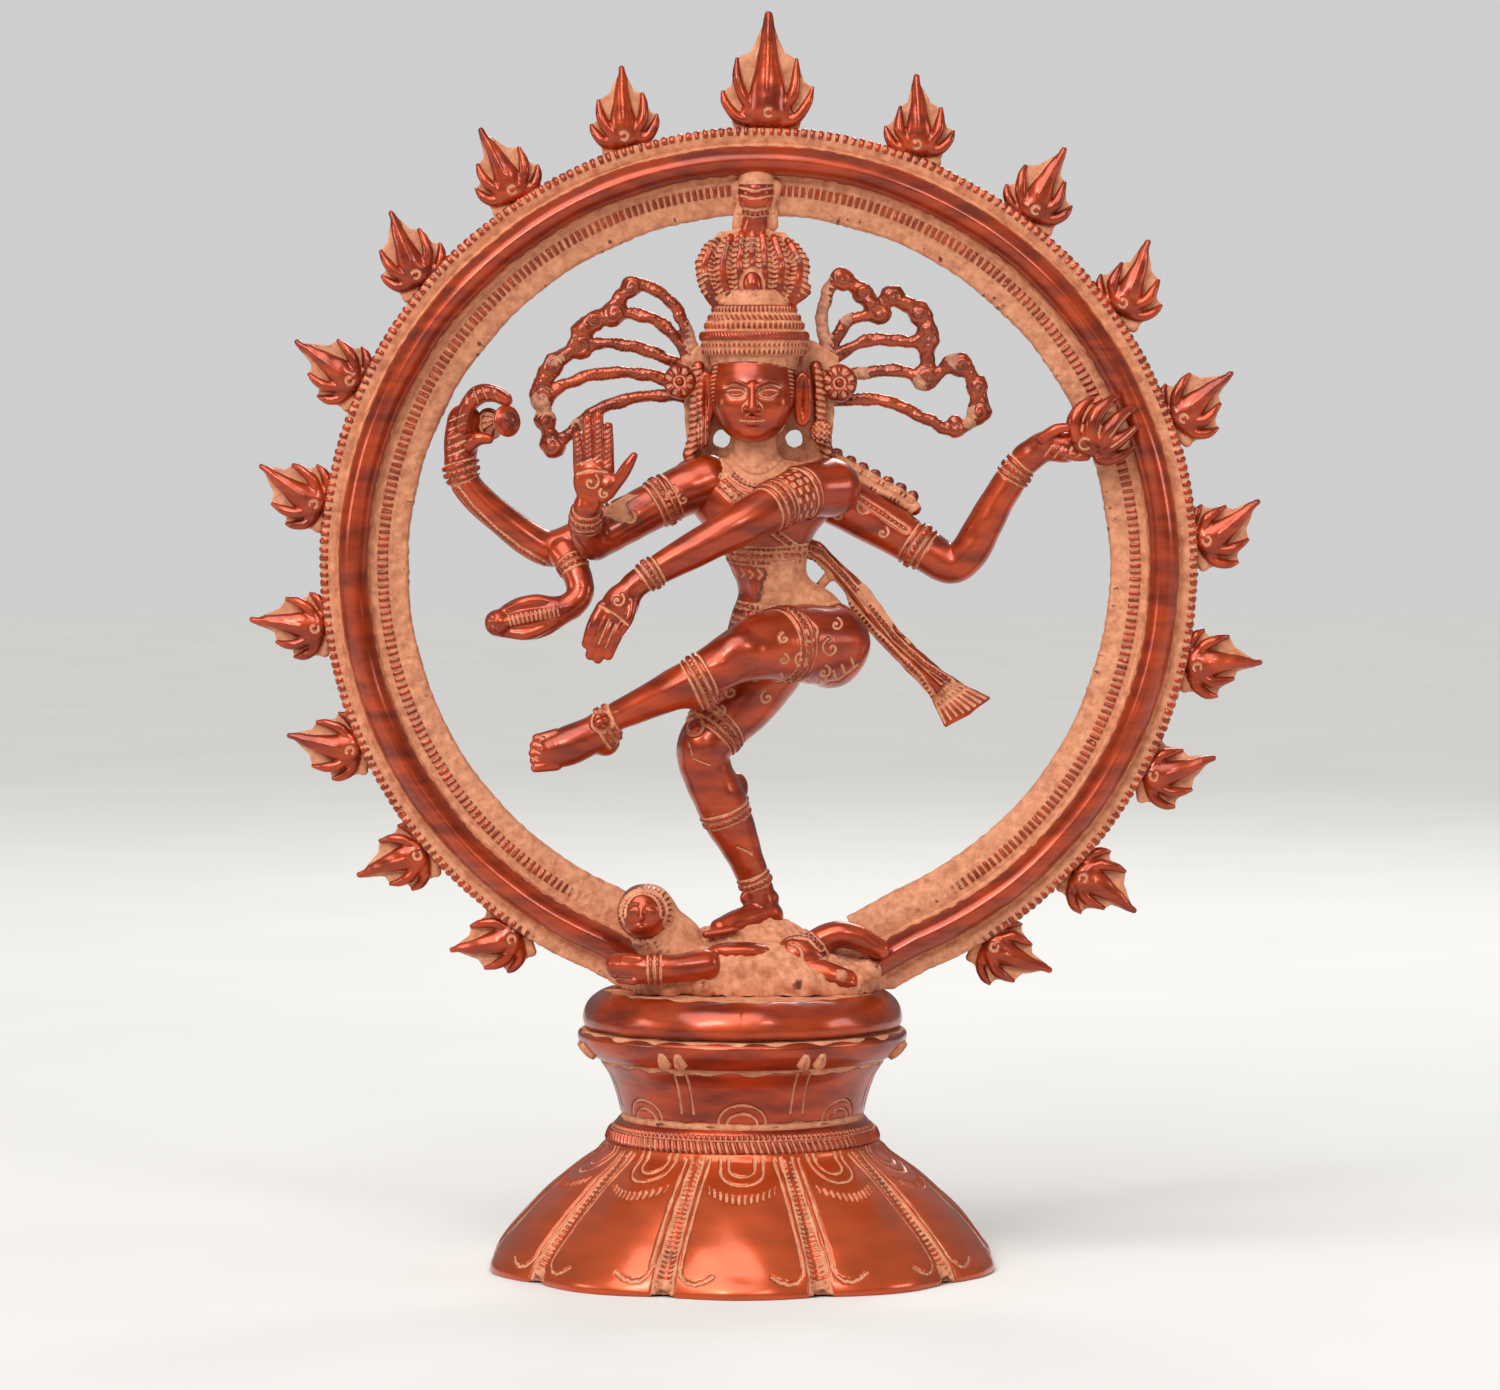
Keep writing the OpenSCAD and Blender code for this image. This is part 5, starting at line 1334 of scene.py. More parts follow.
face_x = -2.0
chin_z, hair_z = 165.6, 190.4
third = (hair_z - chin_z) / 3
brow_z = hair_z - third
nose_z = chin_z + third
eye_z = brow_z - 2.3
mouth_z = nose_z - third * 0.36
wax = Wax((-20, -24, 160), (16.5, 13, 210), 0.25)
wax.ball((face_x, -4.6, 181), (13.4, 12.8, 14.4), 1.0)
wax.ball((face_x, -9.2, 177.5), (11.9, 9.6, 12.2), 2.0)
wax.ball((face_x, -11.2, 171.6), (9.4, 7.4, 6.8), 3.0)
wax.ball((face_x, -15.6, chin_z + 2.0), (3.2, 2.7, 2.5), 2.4)
for side in (-1, 1):
    wax.ball((face_x + side * 6.4, -14.4, nose_z + 1.8), (3.9, 3.2, 3.6), 2.6)
    wax.ball((face_x + side * 4.9, -19.9, eye_z + 0.3), (3.7, 1.9, 2.0), 1.8, cut=True)
    wax.ball((face_x + side * 4.9, -16.9, eye_z - 0.1), (2.9, 1.7, 1.35), 0.4, 1.0,
        (0, side * -5, side * 14))
    lid = [(face_x + side * x, y, eye_z + z, 0.38) for x, y, z in ((2.0, -18.1, -0.5),
        (3.2, -18.75, 0.75), (4.9, -18.75, 1.3), (6.6, -18.1, 0.9), (7.9, -16.9, 0.2))]
    wax.curve(lid, 0.5, 0.3)
    under = [(face_x + side * x, y, eye_z + z, 0.28) for x, y, z in ((2.0, -18.0, -0.6),
        (3.4, -18.4, -1.25), (5.0, -18.3, -1.5), (6.6, -17.7, -1.1), (7.7, -16.9, -0.1))]
    wax.curve(under, 0.5, 0.35)
    brow = [(face_x + side * x, y, brow_z + z, r) for x, y, z, r in ((1.5, -19.1, -1.0, 0.4),
        (3.3, -19.3, 0.1, 0.5), (5.6, -18.6, 0.6, 0.45), (8.3, -16.6, -0.4, 0.3))]
    wax.curve(brow, 0.5, 0.6)
    wax.ball((face_x + side * 1.75, -19.5, nose_z + 0.5), (1.2, 1.25, 0.95), 0.7)
    wax.ball((face_x + side * 0.9, -20.6, nose_z - 0.55), (0.5, 0.8, 0.45), 0.3, 0.3, cut=True)
wax.limb([(face_x, -18.6, brow_z - 0.6, 0.95), (face_x, -19.6, eye_z - 0.4, 1.0),
    (face_x, -21.0, nose_z + 1.6, 1.25), (face_x, -21.3, nose_z + 0.7, 1.35)], 1.3)
upper_lip = [(face_x + x, y, mouth_z + z, r) for x, y, z, r in ((-3.5, -17.3, 0.1, 0.3),
    (-1.7, -18.7, 0.7, 0.62), (-0.5, -19.2, 0.95, 0.68), (0, -19.2, 0.75, 0.6), (0.5, -19.2, 0.95, 0.68),
    (1.7, -18.7, 0.7, 0.62), (3.5, -17.3, 0.1, 0.3))]
wax.limb(upper_lip, 0.5)
wax.limb([(face_x - 2.7, -17.7, mouth_z - 0.35, 0.4), (face_x - 1.0, -18.7, mouth_z - 0.85, 0.85),
    (face_x + 1.0, -18.7, mouth_z - 0.85, 0.85), (face_x + 2.7, -17.7, mouth_z - 0.35, 0.4)], 0.5)
wax.limb([(face_x - 3.3, -17.9, mouth_z + 0.05, 0.16), (face_x, -19.9, mouth_z - 0.05, 0.2),
    (face_x + 3.3, -17.9, mouth_z + 0.05, 0.16)], 0.2, 0.1, cut=True)
# Two rows of headband, then the stepped foot of the crown, round one upright middle line
band_x, band_y = -1.4, -3.8
for z, r, thick, tone in ((191.4, 14.3, 1.25, 0.7), (193.4, 14.6, 1.2, 0.7), (196.0, 14.5, 2.0, 1.0),
        (199.2, 13.4, 1.5, 0.8), (201.6, 12.4, 1.4, 0.8), (204.0, 11.3, 1.4, 0.8)):
    row = [(band_x + r * math.sin(a), band_y - r * 0.92 * math.cos(a), z, thick)
        for a in np.linspace(0, 2 * math.pi, 40)]
    wax.limb(row, 0.3, tone)
wax.limb([(band_x, band_y, 192, 13.6), (band_x, band_y, 195, 13.2), (-1.2, -3.4, 202, 10.8)], 0.5, 0.3,
    (1, 0.92, 1))
head = Casting(wax, 1)
hx, hy, hz = head.points.T
spin = np.arctan2(hx - band_x, -(hy - band_y))
arc_run = spin * 14.4
for z, half, pitch, proud, slant in ((191.5, 0.95, 1.5, 0.3, 0), (193.6, 0.85, 1.5, 0.3, 0),
        (196.0, 1.7, 1.05, 0.16, 0.25), (199.2, 1.2, 1.7, 0.35, 0), (201.6, 1.1, 1.9, 0.35, 0.4),
        (204.0, 1.1, 1.6, 0.35, 0)):
    row = step_down(half - 0.2, half + 0.3, np.abs(hz - z))
    beads = 0.5 + 0.5 * np.cos((arc_run + slant * (hz - z) * 2) * 2 * math.pi / pitch)
    head.work(proud * row * (beads - 0.5) * 1.6, -0.7 * row * (1 - beads) * (0.9 if z != 196.0 else 0.55))
for z in (190.2, 192.5, 194.4, 197.8, 200.4, 202.8):
    gap = step_down(0.15, 0.6, np.abs(hz - z))
    head.work(-0.15 * gap * (np.hypot(hx - band_x, hy - band_y) > 10), -0.8 * gap)
for i in range(22):
    z = 189.5 - i * 1.25
    for side in (-1, 1):
        x = face_x + side * (10.4 + 1.6 * math.sin(i * 0.13))
        head.line([(x, z), (x + side * 2.4, z - 0.7)], 0.28, 0.3, -0.6)
for i in range(17):
    a = math.pi * (0.56 + 0.88 * i / 16)
    x = -1.4 + 13.5 * math.sin(a)
    head.line([(x, 190), (x * 0.9, 180), (x * 0.7, 170)], 0.4, 0.45, -0.6, side=(0, 1, 0))
face_lines = (
    # distance from the middle of the face and height of each point, then width, depth and polish
    ([(1.9, brow_z - 2.0), (3.6, brow_z - 1.0), (6.0, brow_z - 0.5), (8.4, brow_z - 1.4)], 0.3, 0.12, -0.75),
    ([(2.0, eye_z - 0.6), (3.4, eye_z + 0.2), (5.0, eye_z + 0.35), (7.6, eye_z - 0.1)], 0.24, 0.1, -0.75),
    ([(2.0, eye_z - 1.0), (3.6, eye_z - 1.95), (5.4, eye_z - 2.05), (7.4, eye_z - 1.0)], 0.22, 0.1, -0.7),
    ([(1.3, nose_z + 3.0), (2.8, nose_z + 1.6), (2.9, nose_z + 0.1)], 0.22, 0.1, -0.6),
)
for side in (-1, 1):
    for line, wide, deep, polish in face_lines:
        head.line([(face_x + side * x, z) for x, z in line], wide, deep, polish)
head.line([(face_x + x, mouth_z + z) for x, z in ((-3.6, 0.1), (0, -0.1), (3.6, 0.1))], 0.24, 0.08, -0.75)
face_mask = (hy < -9) & (hz < 189.8) & (np.abs(hx - face_x) < 10.5)
hollow = ((head.relaxed(head.points, 16) - head.points) * head.normals()).sum(1)
head.polish -= np.clip(hollow, -0.05, 1) * np.where(face_mask, 2.6, 3.0)
head.work(0.05 * unevenness(hx, hy, hz, 7, 121))
head.polish -= 0.8 * step_up(0.0, 4.0, hy) + 0.8 * step_down(162, 166, hz)
head.place("head")


# ---- Crown fan ----
# Seven ribbed plumes that spread from the foot of the crown, cast with an oval boss in front and a
# ring of beads at their root, and left mostly in their patina.

wax = Wax((-25, -13, 202), (21, 6, 233), 0.3)
plumes = []
for i in range(-3, 4):
    lean = abs(i) ** 1.2 * (1 if i > 0 else -1)
    path = smooth_line([(-1.4 + lean * 2.5, -3.4, 204.5, 2.3), (-1.8 + lean * 3.5, -4.4, 210.5, 2.7),
        (-2.0 + lean * 3.8, -4.2, 217.5, 2.8), (-2.0 + lean * 3.2, -3.2, 224.6 - abs(i) * 0.7, 2.2),
        (-2.0 + lean * 2.8, -2.4, 228.2 - abs(i) * 1.2, 1.1)], 1.0)
    plumes.append(path)
    wax.limb(path, 0.15, 0.95)
wax.sheet([(-11, 204), (-16.5, 212), (-16.8, 219), (-12, 227), (-2, 229), (8, 227), (13, 219),
    (12.6, 212), (8.5, 204)], -2.4, 1.2, 0.8, 0.0)
wax.ball((-2, -7.6, 211.5), (2.9, 2.3, 4.2), 0.4)
wax.limb([(-10, -5.8, 206.2, 1.5), (-2, -8.6, 205.6, 1.6), (7, -5.8, 206.2, 1.5)], 0.4, 0.7)
wax.curve([(9.4, -4.6, 206.4, 1.7), (13.4, -4.8, 209.4, 1.9), (12.6, -5.0, 213.0, 1.7),
    (9.8, -5.6, 212.4, 1.3)], 0.8, 0.4)
fan = Casting(wax, 1)
best = np.full(len(fan.points), 1e6)
ribs = np.zeros(len(fan.points))
across = np.zeros(len(fan.points))
for path in plumes:
    far, run = along_line(fan.of("x"), fan.of("z"), [(p[0], p[2]) for p in path])
    closer = far < best
    best[closer] = far[closer]
    ribs[closer] = run[closer]
ridged = 0.5 + 0.5 * np.cos((ribs + best * 0.25) * 2 * math.pi / 1.55)
spine_line = step_down(0.7, 1.25, np.abs(best))
on_fan = step_up(207, 209, fan.of("z"))
away_from_boss = step_up(0.9, 1.2, np.hypot((fan.of("x") + 2) / 3.4, (fan.of("z") - 211.5) / 4.8))
push = 0.4 * (ridged - 0.5) * (1 - spine_line) + 0.35 * spine_line
patina = 0.8 * (1 - ridged) * (1 - spine_line) + 0.25 * (1 - ridged) * spine_line
fan.work(push * on_fan * away_from_boss, -patina * on_fan * away_from_boss)
ring_gap = np.abs(np.hypot((fan.of("x") + 2) / 3.3, (fan.of("z") - 211.5) / 4.6) - 1)
fan.work(-0.3 * step_down(0.05, 0.18, ring_gap) * fan.seen_from((0, -1, 0)),
    -0.9 * step_down(0.05, 0.2, ring_gap))
fan.cord([(-10.5, 206.2), (-2, 205.4), (7.5, 206.2)], 0.8, 0.5, 1.5)
for i in range(-3, 4):
    fan.line([(-1.4 + i * 2.4, 205), (-2.0 + i * 4.0, 226 - abs(i))], 0.4, 0.4, -0.4, side=(0, 1, 0))
fan.weather(2.2, 10, 0.16, 131, 4)
fan.polish -= 0.3 + 0.25 * unevenness(*fan.points.T, 5, 132)
fan.place("crown_fan", "patinated_brass")


# ---- Crown post ----
# The burnished knob above the crown, a short neck of cast brass that joins the top of the figure to
# the arch. Its sides, where it runs into the arch's flange, keep their patina.

wax = Wax((-11, -11, 220), (9, 8, 246), 0.3)
wax.curve([(-1.6, -0.8, 226.5, 4.4), (-1.4, -1.6, 230, 3.7), (-1.0, -2.2, 233.5, 3.6),
    (-1, -2.6, 237.6, 5.0), (-0.8, -1.4, 242.4, 5.4)], 1, 0.6, 1.0, (1, 0.9, 1))
wax.limb([(-6.6, -0.6, 229, 1.6), (-5.0, -0.8, 236, 1.9), (-6.4, 0, 241, 2.2)], 0.6, 0.0)
wax.limb([(4.2, -0.6, 229, 1.6), (3.2, -0.8, 236, 1.9), (5.0, 0, 241, 2.2)], 0.6, 0.0)
post = Casting(wax, 1)
post.cord([(-6, 233.4), (-1, 232.6), (4, 233.4)], 0.7, 0.45, 1.4)
for z in (238.0, 240.4):
    post.line([(-6, z), (-1, z - 1.0), (4.4, z)], 0.3, 0.3, -0.7)
post.weather(2.2, 12, 0.15, 133, 5)
post.polish -= 0.9 * step_up(240.2, 242.0, post.of("z")) + 0.8 * step_up(0.5, 2.5, post.of("y"))
post.place("crown_post")


# ---- Hair ----
# The locks that fly out on both sides, five on the left and six on the right. Each is a twisted
# cord of brass, and thick lumpy links join their outer ends down both sides.

dark_casting = cast_brass("dark_lacquered_cast_brass", "#b0481f", "#7a2c12", "#c98a66", "#8d5544")
hair_y = 3.0
left_locks = (
    [(-20, 193), (-23, 201), (-27, 207), (-33, 211), (-39, 211), (-43, 202)],
    [(-21, 190), (-28, 199), (-38, 203), (-48, 202), (-54, 192)],
    [(-21, 186), (-34, 192), (-48, 194), (-60, 189), (-66, 177)],
    [(-21, 181), (-36, 185), (-52, 184), (-64, 177), (-62, 162)],
    [(-21, 178), (-36, 178), (-50, 173), (-61, 163)],
)
left_links = (
    [(-37, 211.4), (-42, 207.6), (-44, 202.4), (-48.4, 201.6), (-53.2, 198), (-54.6, 192.6), (-58.6, 190.2)],
    [(-60, 189.4), (-64.4, 184.6), (-66, 178), (-63.8, 171.6), (-63.2, 165.4), (-60.2, 162.2)],
)
left_curls = ((-43.4, 203, 3.1), (-38.4, 210.8, 2.6), (-53.6, 193.4, 3.2), (-65, 178.4, 3.3),
    (-61.8, 187.6, 2.7), (-62, 163.6, 3.1), (-64.2, 171, 2.7), (-49, 201, 2.4))
right_locks = (
    [(20, 193), (19, 202), (21, 210), (25, 214), (31, 208), (36, 203)],
    [(21, 192), (27, 201), (36, 203), (39, 209), (48, 203)],
    [(21, 189), (33, 195), (47, 195), (50, 202)],
    [(21, 184), (42, 186), (50, 182), (60, 189), (67, 174)],
    [(21, 177), (37, 177), (49, 172), (59, 168), (67, 174)],
    [(47, 195), (51, 189), (50, 183)],
)
right_links = (
    [(24, 213), (29, 211.6), (33.4, 206.4), (36.4, 203.4)],
    [(39, 208.4), (45, 205.4), (49.4, 202), (51.2, 195.6), (50.4, 189), (50, 183.6)],
    [(57, 187.6), (61.6, 187), (65.4, 181), (66.4, 174.4)],
)
right_curls = ((25, 213.4, 2.7), (31, 209, 2.7), (36, 203.4, 3.0), (40.4, 208.2, 2.5), (48, 203, 2.9),
    (51, 195.6, 2.6), (50, 184, 3.1), (60.4, 187.6, 2.8), (65.6, 181, 2.7), (66, 173.6, 3.1),
    (59, 169, 2.5))
for name, locks, links, curls, low, high, seed in (("left_hair", left_locks, left_links, left_curls,
        (-73, -2.5, 155), (-16, 8, 218), 141), ("right_hair", right_locks, right_links, right_curls,
        (15, -2.5, 161), (73, 8, 220), 143)):
    wax = Wax(low, high, 0.3)
    paths = [smooth_line([(x, hair_y, z, 1.9) for x, z in lock], 0.8) for lock in locks]
    for path in paths:
        wax.limb(path, 0.9, 1.0, (1, 0.95, 1))
    for link in links:
        wax.curve([(x, hair_y - 0.2, z, 2.3 + 0.6 * math.sin(x * 2.1)) for x, z in link], 0.8, 0.9)
    for x, z, r in curls:
        wax.ball((x, hair_y - 0.3, z), (r * 1.35, 2.2, r * 1.2), 0.9, 1.0, (0, x * 1.7, 0))
    hair = Casting(wax, 1)
    twist = np.zeros(len(hair.points))
    best = np.full(len(hair.points), 1e6)
    for path in paths:
        run, angle, far = hair.follow(path)
        closer = far < best
        best[closer] = far[closer]
        twist[closer] = np.cos(run[closer] * 2 * math.pi / 1.8 + 0.5 * angle[closer])
    in_curl = np.zeros(len(hair.points))
    swirl = np.zeros(len(hair.points))
    for x, z, r in curls:
        dx, dz = hair.of("x") - x, hair.of("z") - z
        far = np.hypot(dx, dz)
        here = step_down(r - 0.5, r + 0.3, far)
        turned = 0.5 + 0.5 * np.cos(far * 2 * math.pi / 2.1 + np.arctan2(dz, dx))
        swirl = np.where(here > in_curl, turned, swirl)
        in_curl = np.maximum(in_curl, here)
    push = 0.05 * twist * (1 - in_curl) + 0.25 * (swirl - 0.5) * in_curl
    patina = 0.22 * step_down(-0.9, -0.3, twist) * (1 - in_curl) + 0.45 * (1 - swirl) * in_curl
    hair.work(push, -patina)
    hair.weather(2.4, 8, 0.3, seed, 4)
    hair.polish -= 0.85 * step_down(20, 24, np.abs(hair.of("x")))
    hx, hy, hz = hair.points.T
    hair.polish -= 0.8 * step_up(0.5, 0.9, unevenness(hx, hy, hz, 11, seed + 1))
    hair.place(name, "dark_lacquered_brass", dark_casting)


# ---- Ears and ornaments ----
# Long ear loops, the beaded side locks that fall to the shoulders, a flower rosette beside each
# ear, and the ear pendants: a ridged tassel on the left and a scaled disc on the right.

wax = Wax((-31, -13, 157), (30, 3, 192), 0.28)
for side in (-1, 1):
    ear_x = face_x + side * 13.8 + 0.6
    loop = [(ear_x + side * (0.6 + 1.5 * math.sin(a) * side), -7.6, 177.4 + 7.0 * math.cos(a), 1.45)
        for a in np.linspace(0, 2 * math.pi, 30)]
    wax.limb(loop, 0.3)
    wax.ball((ear_x + side * 0.4, -4.8, 177.0), (2.6, 2.2, 6.8), 0.6, 0.1)
    wax.limb([(ear_x + side * 0.3, -7.2, 181.5, 0.9), (ear_x - side * 0.2, -7.4, 177.8, 0.85)], 0.4, 0.9)
    lock = smooth_line([(side * 17.6 - 0.6, -2.4, 187.0, 1.9), (side * 18.6 - 0.4, -2.2, 176, 1.9),
        (side * 18.8 - 0.2, -2.2, 167, 2.0), (side * 21.0, -2.6, 160.5, 1.9)], 1)
    wax.limb(lock, 0.4, 0.7)
wax.ball((-23.8, -3.8, 182.6), (4.9, 2.6, 5.2), 0.3, 0.9)
wax.ball((24.0, -3.8, 182.2), (5.4, 2.8, 5.6), 0.3, 0.9)
wax.curve([(-16.4, -7.4, 170.6, 1.5), (-16.8, -7.6, 167.6, 2.3), (-16.6, -7.2, 164.8, 1.9)], 0.6, 0.4,
    0.9)
wax.ball((18.6, -6.6, 167.4), (3.4, 2.4, 3.6), 0.4, 0.9)
wax.sheet([(-60, 100), (60, 100), (60, 260), (-60, 260)], 0.6, 9, 0.2, 0.1, cut=True)
ears = Casting(wax, 1)
ex, ez = ears.of("x"), ears.of("z")
for cx, cz, r in ((-23.8, 182.6, 4.9), (24.0, 182.2, 5.4)):
    far = np.hypot(ex - cx, ez - cz)
    bearing = np.arctan2(ez - cz, ex - cx)
    here = step_down(r - 0.2, r + 0.6, far) * ears.seen_from((0, -1, 0))
    leaves = 0.5 + 0.5 * np.cos(bearing * 8)
    outer = step_down(0.6, 1.2, np.abs(far - r * 0.68))
    eye_groove = step_down(0.1, 0.5, np.abs(far - 1.7))
    ears.work(here * (0.8 * outer * (leaves - 0.4) + 0.5 * step_down(0.6, 1.3, far) - 0.5 * eye_groove),
        here * (-0.8 * outer * (1 - leaves) - 0.8 * eye_groove))
beaded = 0.5 + 0.5 * np.cos((ez + 0.4 * np.abs(ex)) * 2 * math.pi / 1.9)
on_lock = step_down(2.2, 3.0, np.abs(np.abs(ex + 0.3) - 19.2)) * (ez < 187) * (np.abs(ex) > 17)
off_flower = step_up(4.6, 5.4, np.minimum(np.hypot(ex + 23.6, ez - 182.6), np.hypot(ex - 24, ez - 182.2)))
ears.work(0.45 * (beaded - 0.5) * on_lock * off_flower, -0.75 * (1 - beaded) * on_lock * off_flower)
scales = np.cos(ex * 2 * math.pi / 1.5 + np.cos(ez * 3.6)) * np.cos(ez * 2 * math.pi / 1.7)
on_disc = step_down(3.2, 3.9, np.hypot(ex - 18.6, ez - 167.4))
on_tassel = step_down(2.2, 2.9, np.hypot(ex + 16.7, (ez - 167.6) * 0.6))
scale_patina = 0.6 * step_up(0.1, -0.6, scales) * on_disc
ridge_patina = 0.5 * step_up(0, -0.8, np.cos(ex * 5.7)) * on_tassel
ears.work(0.3 * scales * on_disc + 0.3 * np.cos(ex * 2 * math.pi / 1.1) * on_tassel,
    -scale_patina - ridge_patina)
ears.weather(2.4, 10, 0.1, 151, 4)
ears.place("ear_ornaments", "patinated_brass")


# ---- Front right arm ----
# The arm raised in the gesture of protection. The upper arm slants down to the elbow, the forearm
# comes forward and up, and the palm faces the front with its four fingers together.

upper = smooth_line([(-15.5, -5, 152.5, 8.2), (-22, -7, 150.2, 7.7), (-29, -8.6, 146.8, 7.2),
    (-36, -10.4, 143, 6.9), (-43, -12.8, 138.8, 6.5), (-48.6, -15.2, 135.6, 6.0)], 1)
lower = smooth_line([(-48.6, -15.2, 135.6, 6.0), (-50.8, -19.0, 138.2, 5.5), (-51.2, -23.2, 142.0, 4.6),
    (-50.8, -26.2, 145.6, 4.2)], 1)
wax = Wax((-60, -36, 126), (-8, 5, 176), 0.33)
wax.limb(upper, 1.0)
wax.limb(lower, 1.2)
wax.ball((-48.6, -28.4, 153.0), (6.3, 3.3, 7.2), 1.6, 1.0, (8, -6, 0))
wax.ball((-44.6, -30.2, 151.0), (2.6, 2.2, 4.6), 1.2, 1.0, (0, 24, 0))
fingers = ((-52.9, 157.4, -53.6, 166.4, 1.7), (-50.2, 158.4, -50.5, 171.4, 1.8),
    (-47.3, 158.2, -47.4, 172.6, 1.8), (-44.6, 156.8, -44.4, 169.2, 1.7))
for x0, z0, x1, z1, r in fingers:
    wax.curve([(x0, -28.6, z0 - 1.5, r + 0.25), ((x0 + x1) / 2, -29.4, (z0 + z1) / 2, r),
        (x1, -29.0, z1, r - 0.35)], 0.8, 0.18, 1.0, (1, 0.9, 1))
wax.curve([(-44.4, -29.6, 149.8, 2.1), (-41.0, -30.6, 154.0, 1.9), (-38.6, -31.2, 157.6, 1.6),
    (-36.8, -31.4, 160.6, 1.1)], 0.8, 0.4)
arm = Casting(wax, 1)
around = arm.follow(upper)
arm.rings(around, ((12.6, 1.2, 0.45, 0), (15.0, 2.0, 0.8, 24), (17.2, 1.2, 0.45, 0)), reach=9.5)
around = arm.follow(lower)
arm.rings(around, ((9.6, 1.2, 0.6, 0), (11.6, 1.7, 0.8, 18), (13.4, 1.2, 0.6, 0)), reach=7)
for x0, z0, x1, z1, r in fingers:
    for k in range(int((z1 - z0) / 1.5)):
        t = (k + 0.6) * 1.5 / (z1 - z0)
        cx, cz = x0 + (x1 - x0) * t, z0 + (z1 - z0) * t
        arm.line([(cx - 0.7, cz - 0.35), (cx + 0.7, cz + 0.35)], 0.2, 0.2, -0.6)
arm.curls(((-49.6, 152.8, 2.6, 1), (-45.6, 149.4, 1.7, -1)), 0.3, 0.32, 7.2, 24)
arm.line([(-53.6, 155.2), (-50, 156.4), (-45, 155.8)], 0.3, 0.3)
arm.curls(((-26.5, 149.6, 2.4, 1), (-22.5, 147.6, 1.7, -1), (-38.5, 142.2, 2.0, 1)), 0.28, 0.3)
arm.weather(2.2, 14, 0.13, 161, 7)
ax, ay, az = arm.points.T
patch = -np.abs(ax + 43) / 5 + 1.2 + 0.6 * unevenness(ax, ay, az, 6, 163)
arm.polish -= 0.95 * step_up(-1, 1.0, patch) * step_up(139, 143,
    az + 0.3 * (ax + 43)) * (az < 149) * (ay > -22)
arm.polish -= 0.2 * step_up(-1.5, 2.5, ay)
arm.place("front_right_arm")


# ---- Front left arm ----
# The arm that crosses the chest and hangs forward over the raised leg, its hand drooping with the
# fingers together. A scaled band circles the upper arm and a bracelet the wrist.

front_left = smooth_line([(21.5, -7, 150.8, 8.4), (15, -12, 150.2, 8.2), (8, -17.6, 147.4, 7.6),
    (1, -22.6, 143.8, 6.9), (-6, -26.4, 139.8, 6.3), (-13, -28.4, 136.2, 5.8), (-20, -29.6, 132.4, 5.3),
    (-27, -30.6, 128.6, 4.7), (-33, -31.4, 125.0, 4.2), (-36.6, -31.8, 122.4, 4.1)], 1)
wax = Wax((-57, -40, 96), (32, 3, 162), 0.38)
wax.limb(front_left, 1.0)
wax.ball((21.0, -6.5, 151.0), (8.6, 7.0, 8.4), 2.0)
wax.ball((-41.0, -32.8, 116.6), (5.4, 3.8, 7.4), 1.8, 1.0, (0, 32, 0))
for i, (dx, dz, long_) in enumerate(((-3.3, 2.0, 12.6), (-1.2, 0.8, 15.0), (1.0, -0.4, 14.8),
        (3.0, -1.8, 12.0))):
    base = (-42.6 + dx, -33.4 - 0.15 * i, 114.0 + dz, 2.1)
    tip = (-42.6 + dx - long_ * 0.40, -33.4, 114.0 + dz - long_ * 0.86, 1.5)
    bend = ((base[0] + tip[0]) / 2 - 0.4, -34.4, (base[2] + tip[2]) / 2, 2.0)
    wax.curve([base, bend, tip], 0.8, 0.5)
wax.curve([(-37.6, -34.4, 117.4, 1.9), (-38.4, -36.0, 112.6, 1.6), (-40.6, -36.2, 108.6, 1.1)], 0.8, 0.4)
arm = Casting(wax, 1)
around = arm.follow(front_left)
arm.rings(around, ((20.4, 1.1, 0.45, 0), (22.4, 1.8, 0.75, 26), (24.4, 1.1, 0.45, 0),
    (11.4, 1.1, 0.4, 0)), slant=0.6, reach=11)
arm.rings(around, ((64.2, 1.1, 0.6, 0), (66.0, 1.6, 0.85, 18), (67.8, 1.1, 0.6, 0)), reach=7)
run, angle, far = arm.follow(front_left)
scale = np.cos(run * 2 * math.pi / 2.4) * np.cos(angle * 9)
on_band = step_down(3.2, 3.8, np.abs(run - 15.9)) * (far < 11) * arm.seen_from((0, -1, 0))
arm.work(0.3 * scale * on_band, -0.65 * step_up(0.2, -0.5, scale) * on_band)
for i in range(4):
    x = -45.6 + i * 1.9
    arm.line([(x + 1.5, 112.6 - i * 1.5), (x - 1.6, 105.4 - i * 1.3)], 0.25, 0.22, -0.5)
arm.line([(-46.5, 116.4), (-42.6, 114.2), (-38.4, 110.8)], 0.28, 0.26)
arm.curls([(-41.6, 118.2, 2.2, 1)], 0.26, 0.26)
arm.weather(1.9, 14, 0.13, 165, 9)
arm.polish -= 0.2 * step_up(-4, 0.5, arm.of("y"))
arm.place("front_left_arm")


# ---- Rear right arm ----
# The arm that reaches out and up with the little drum. A beaded ridge runs along its outer side,
# with a bracelet at the wrist, and four thick fingers fold over at the top.

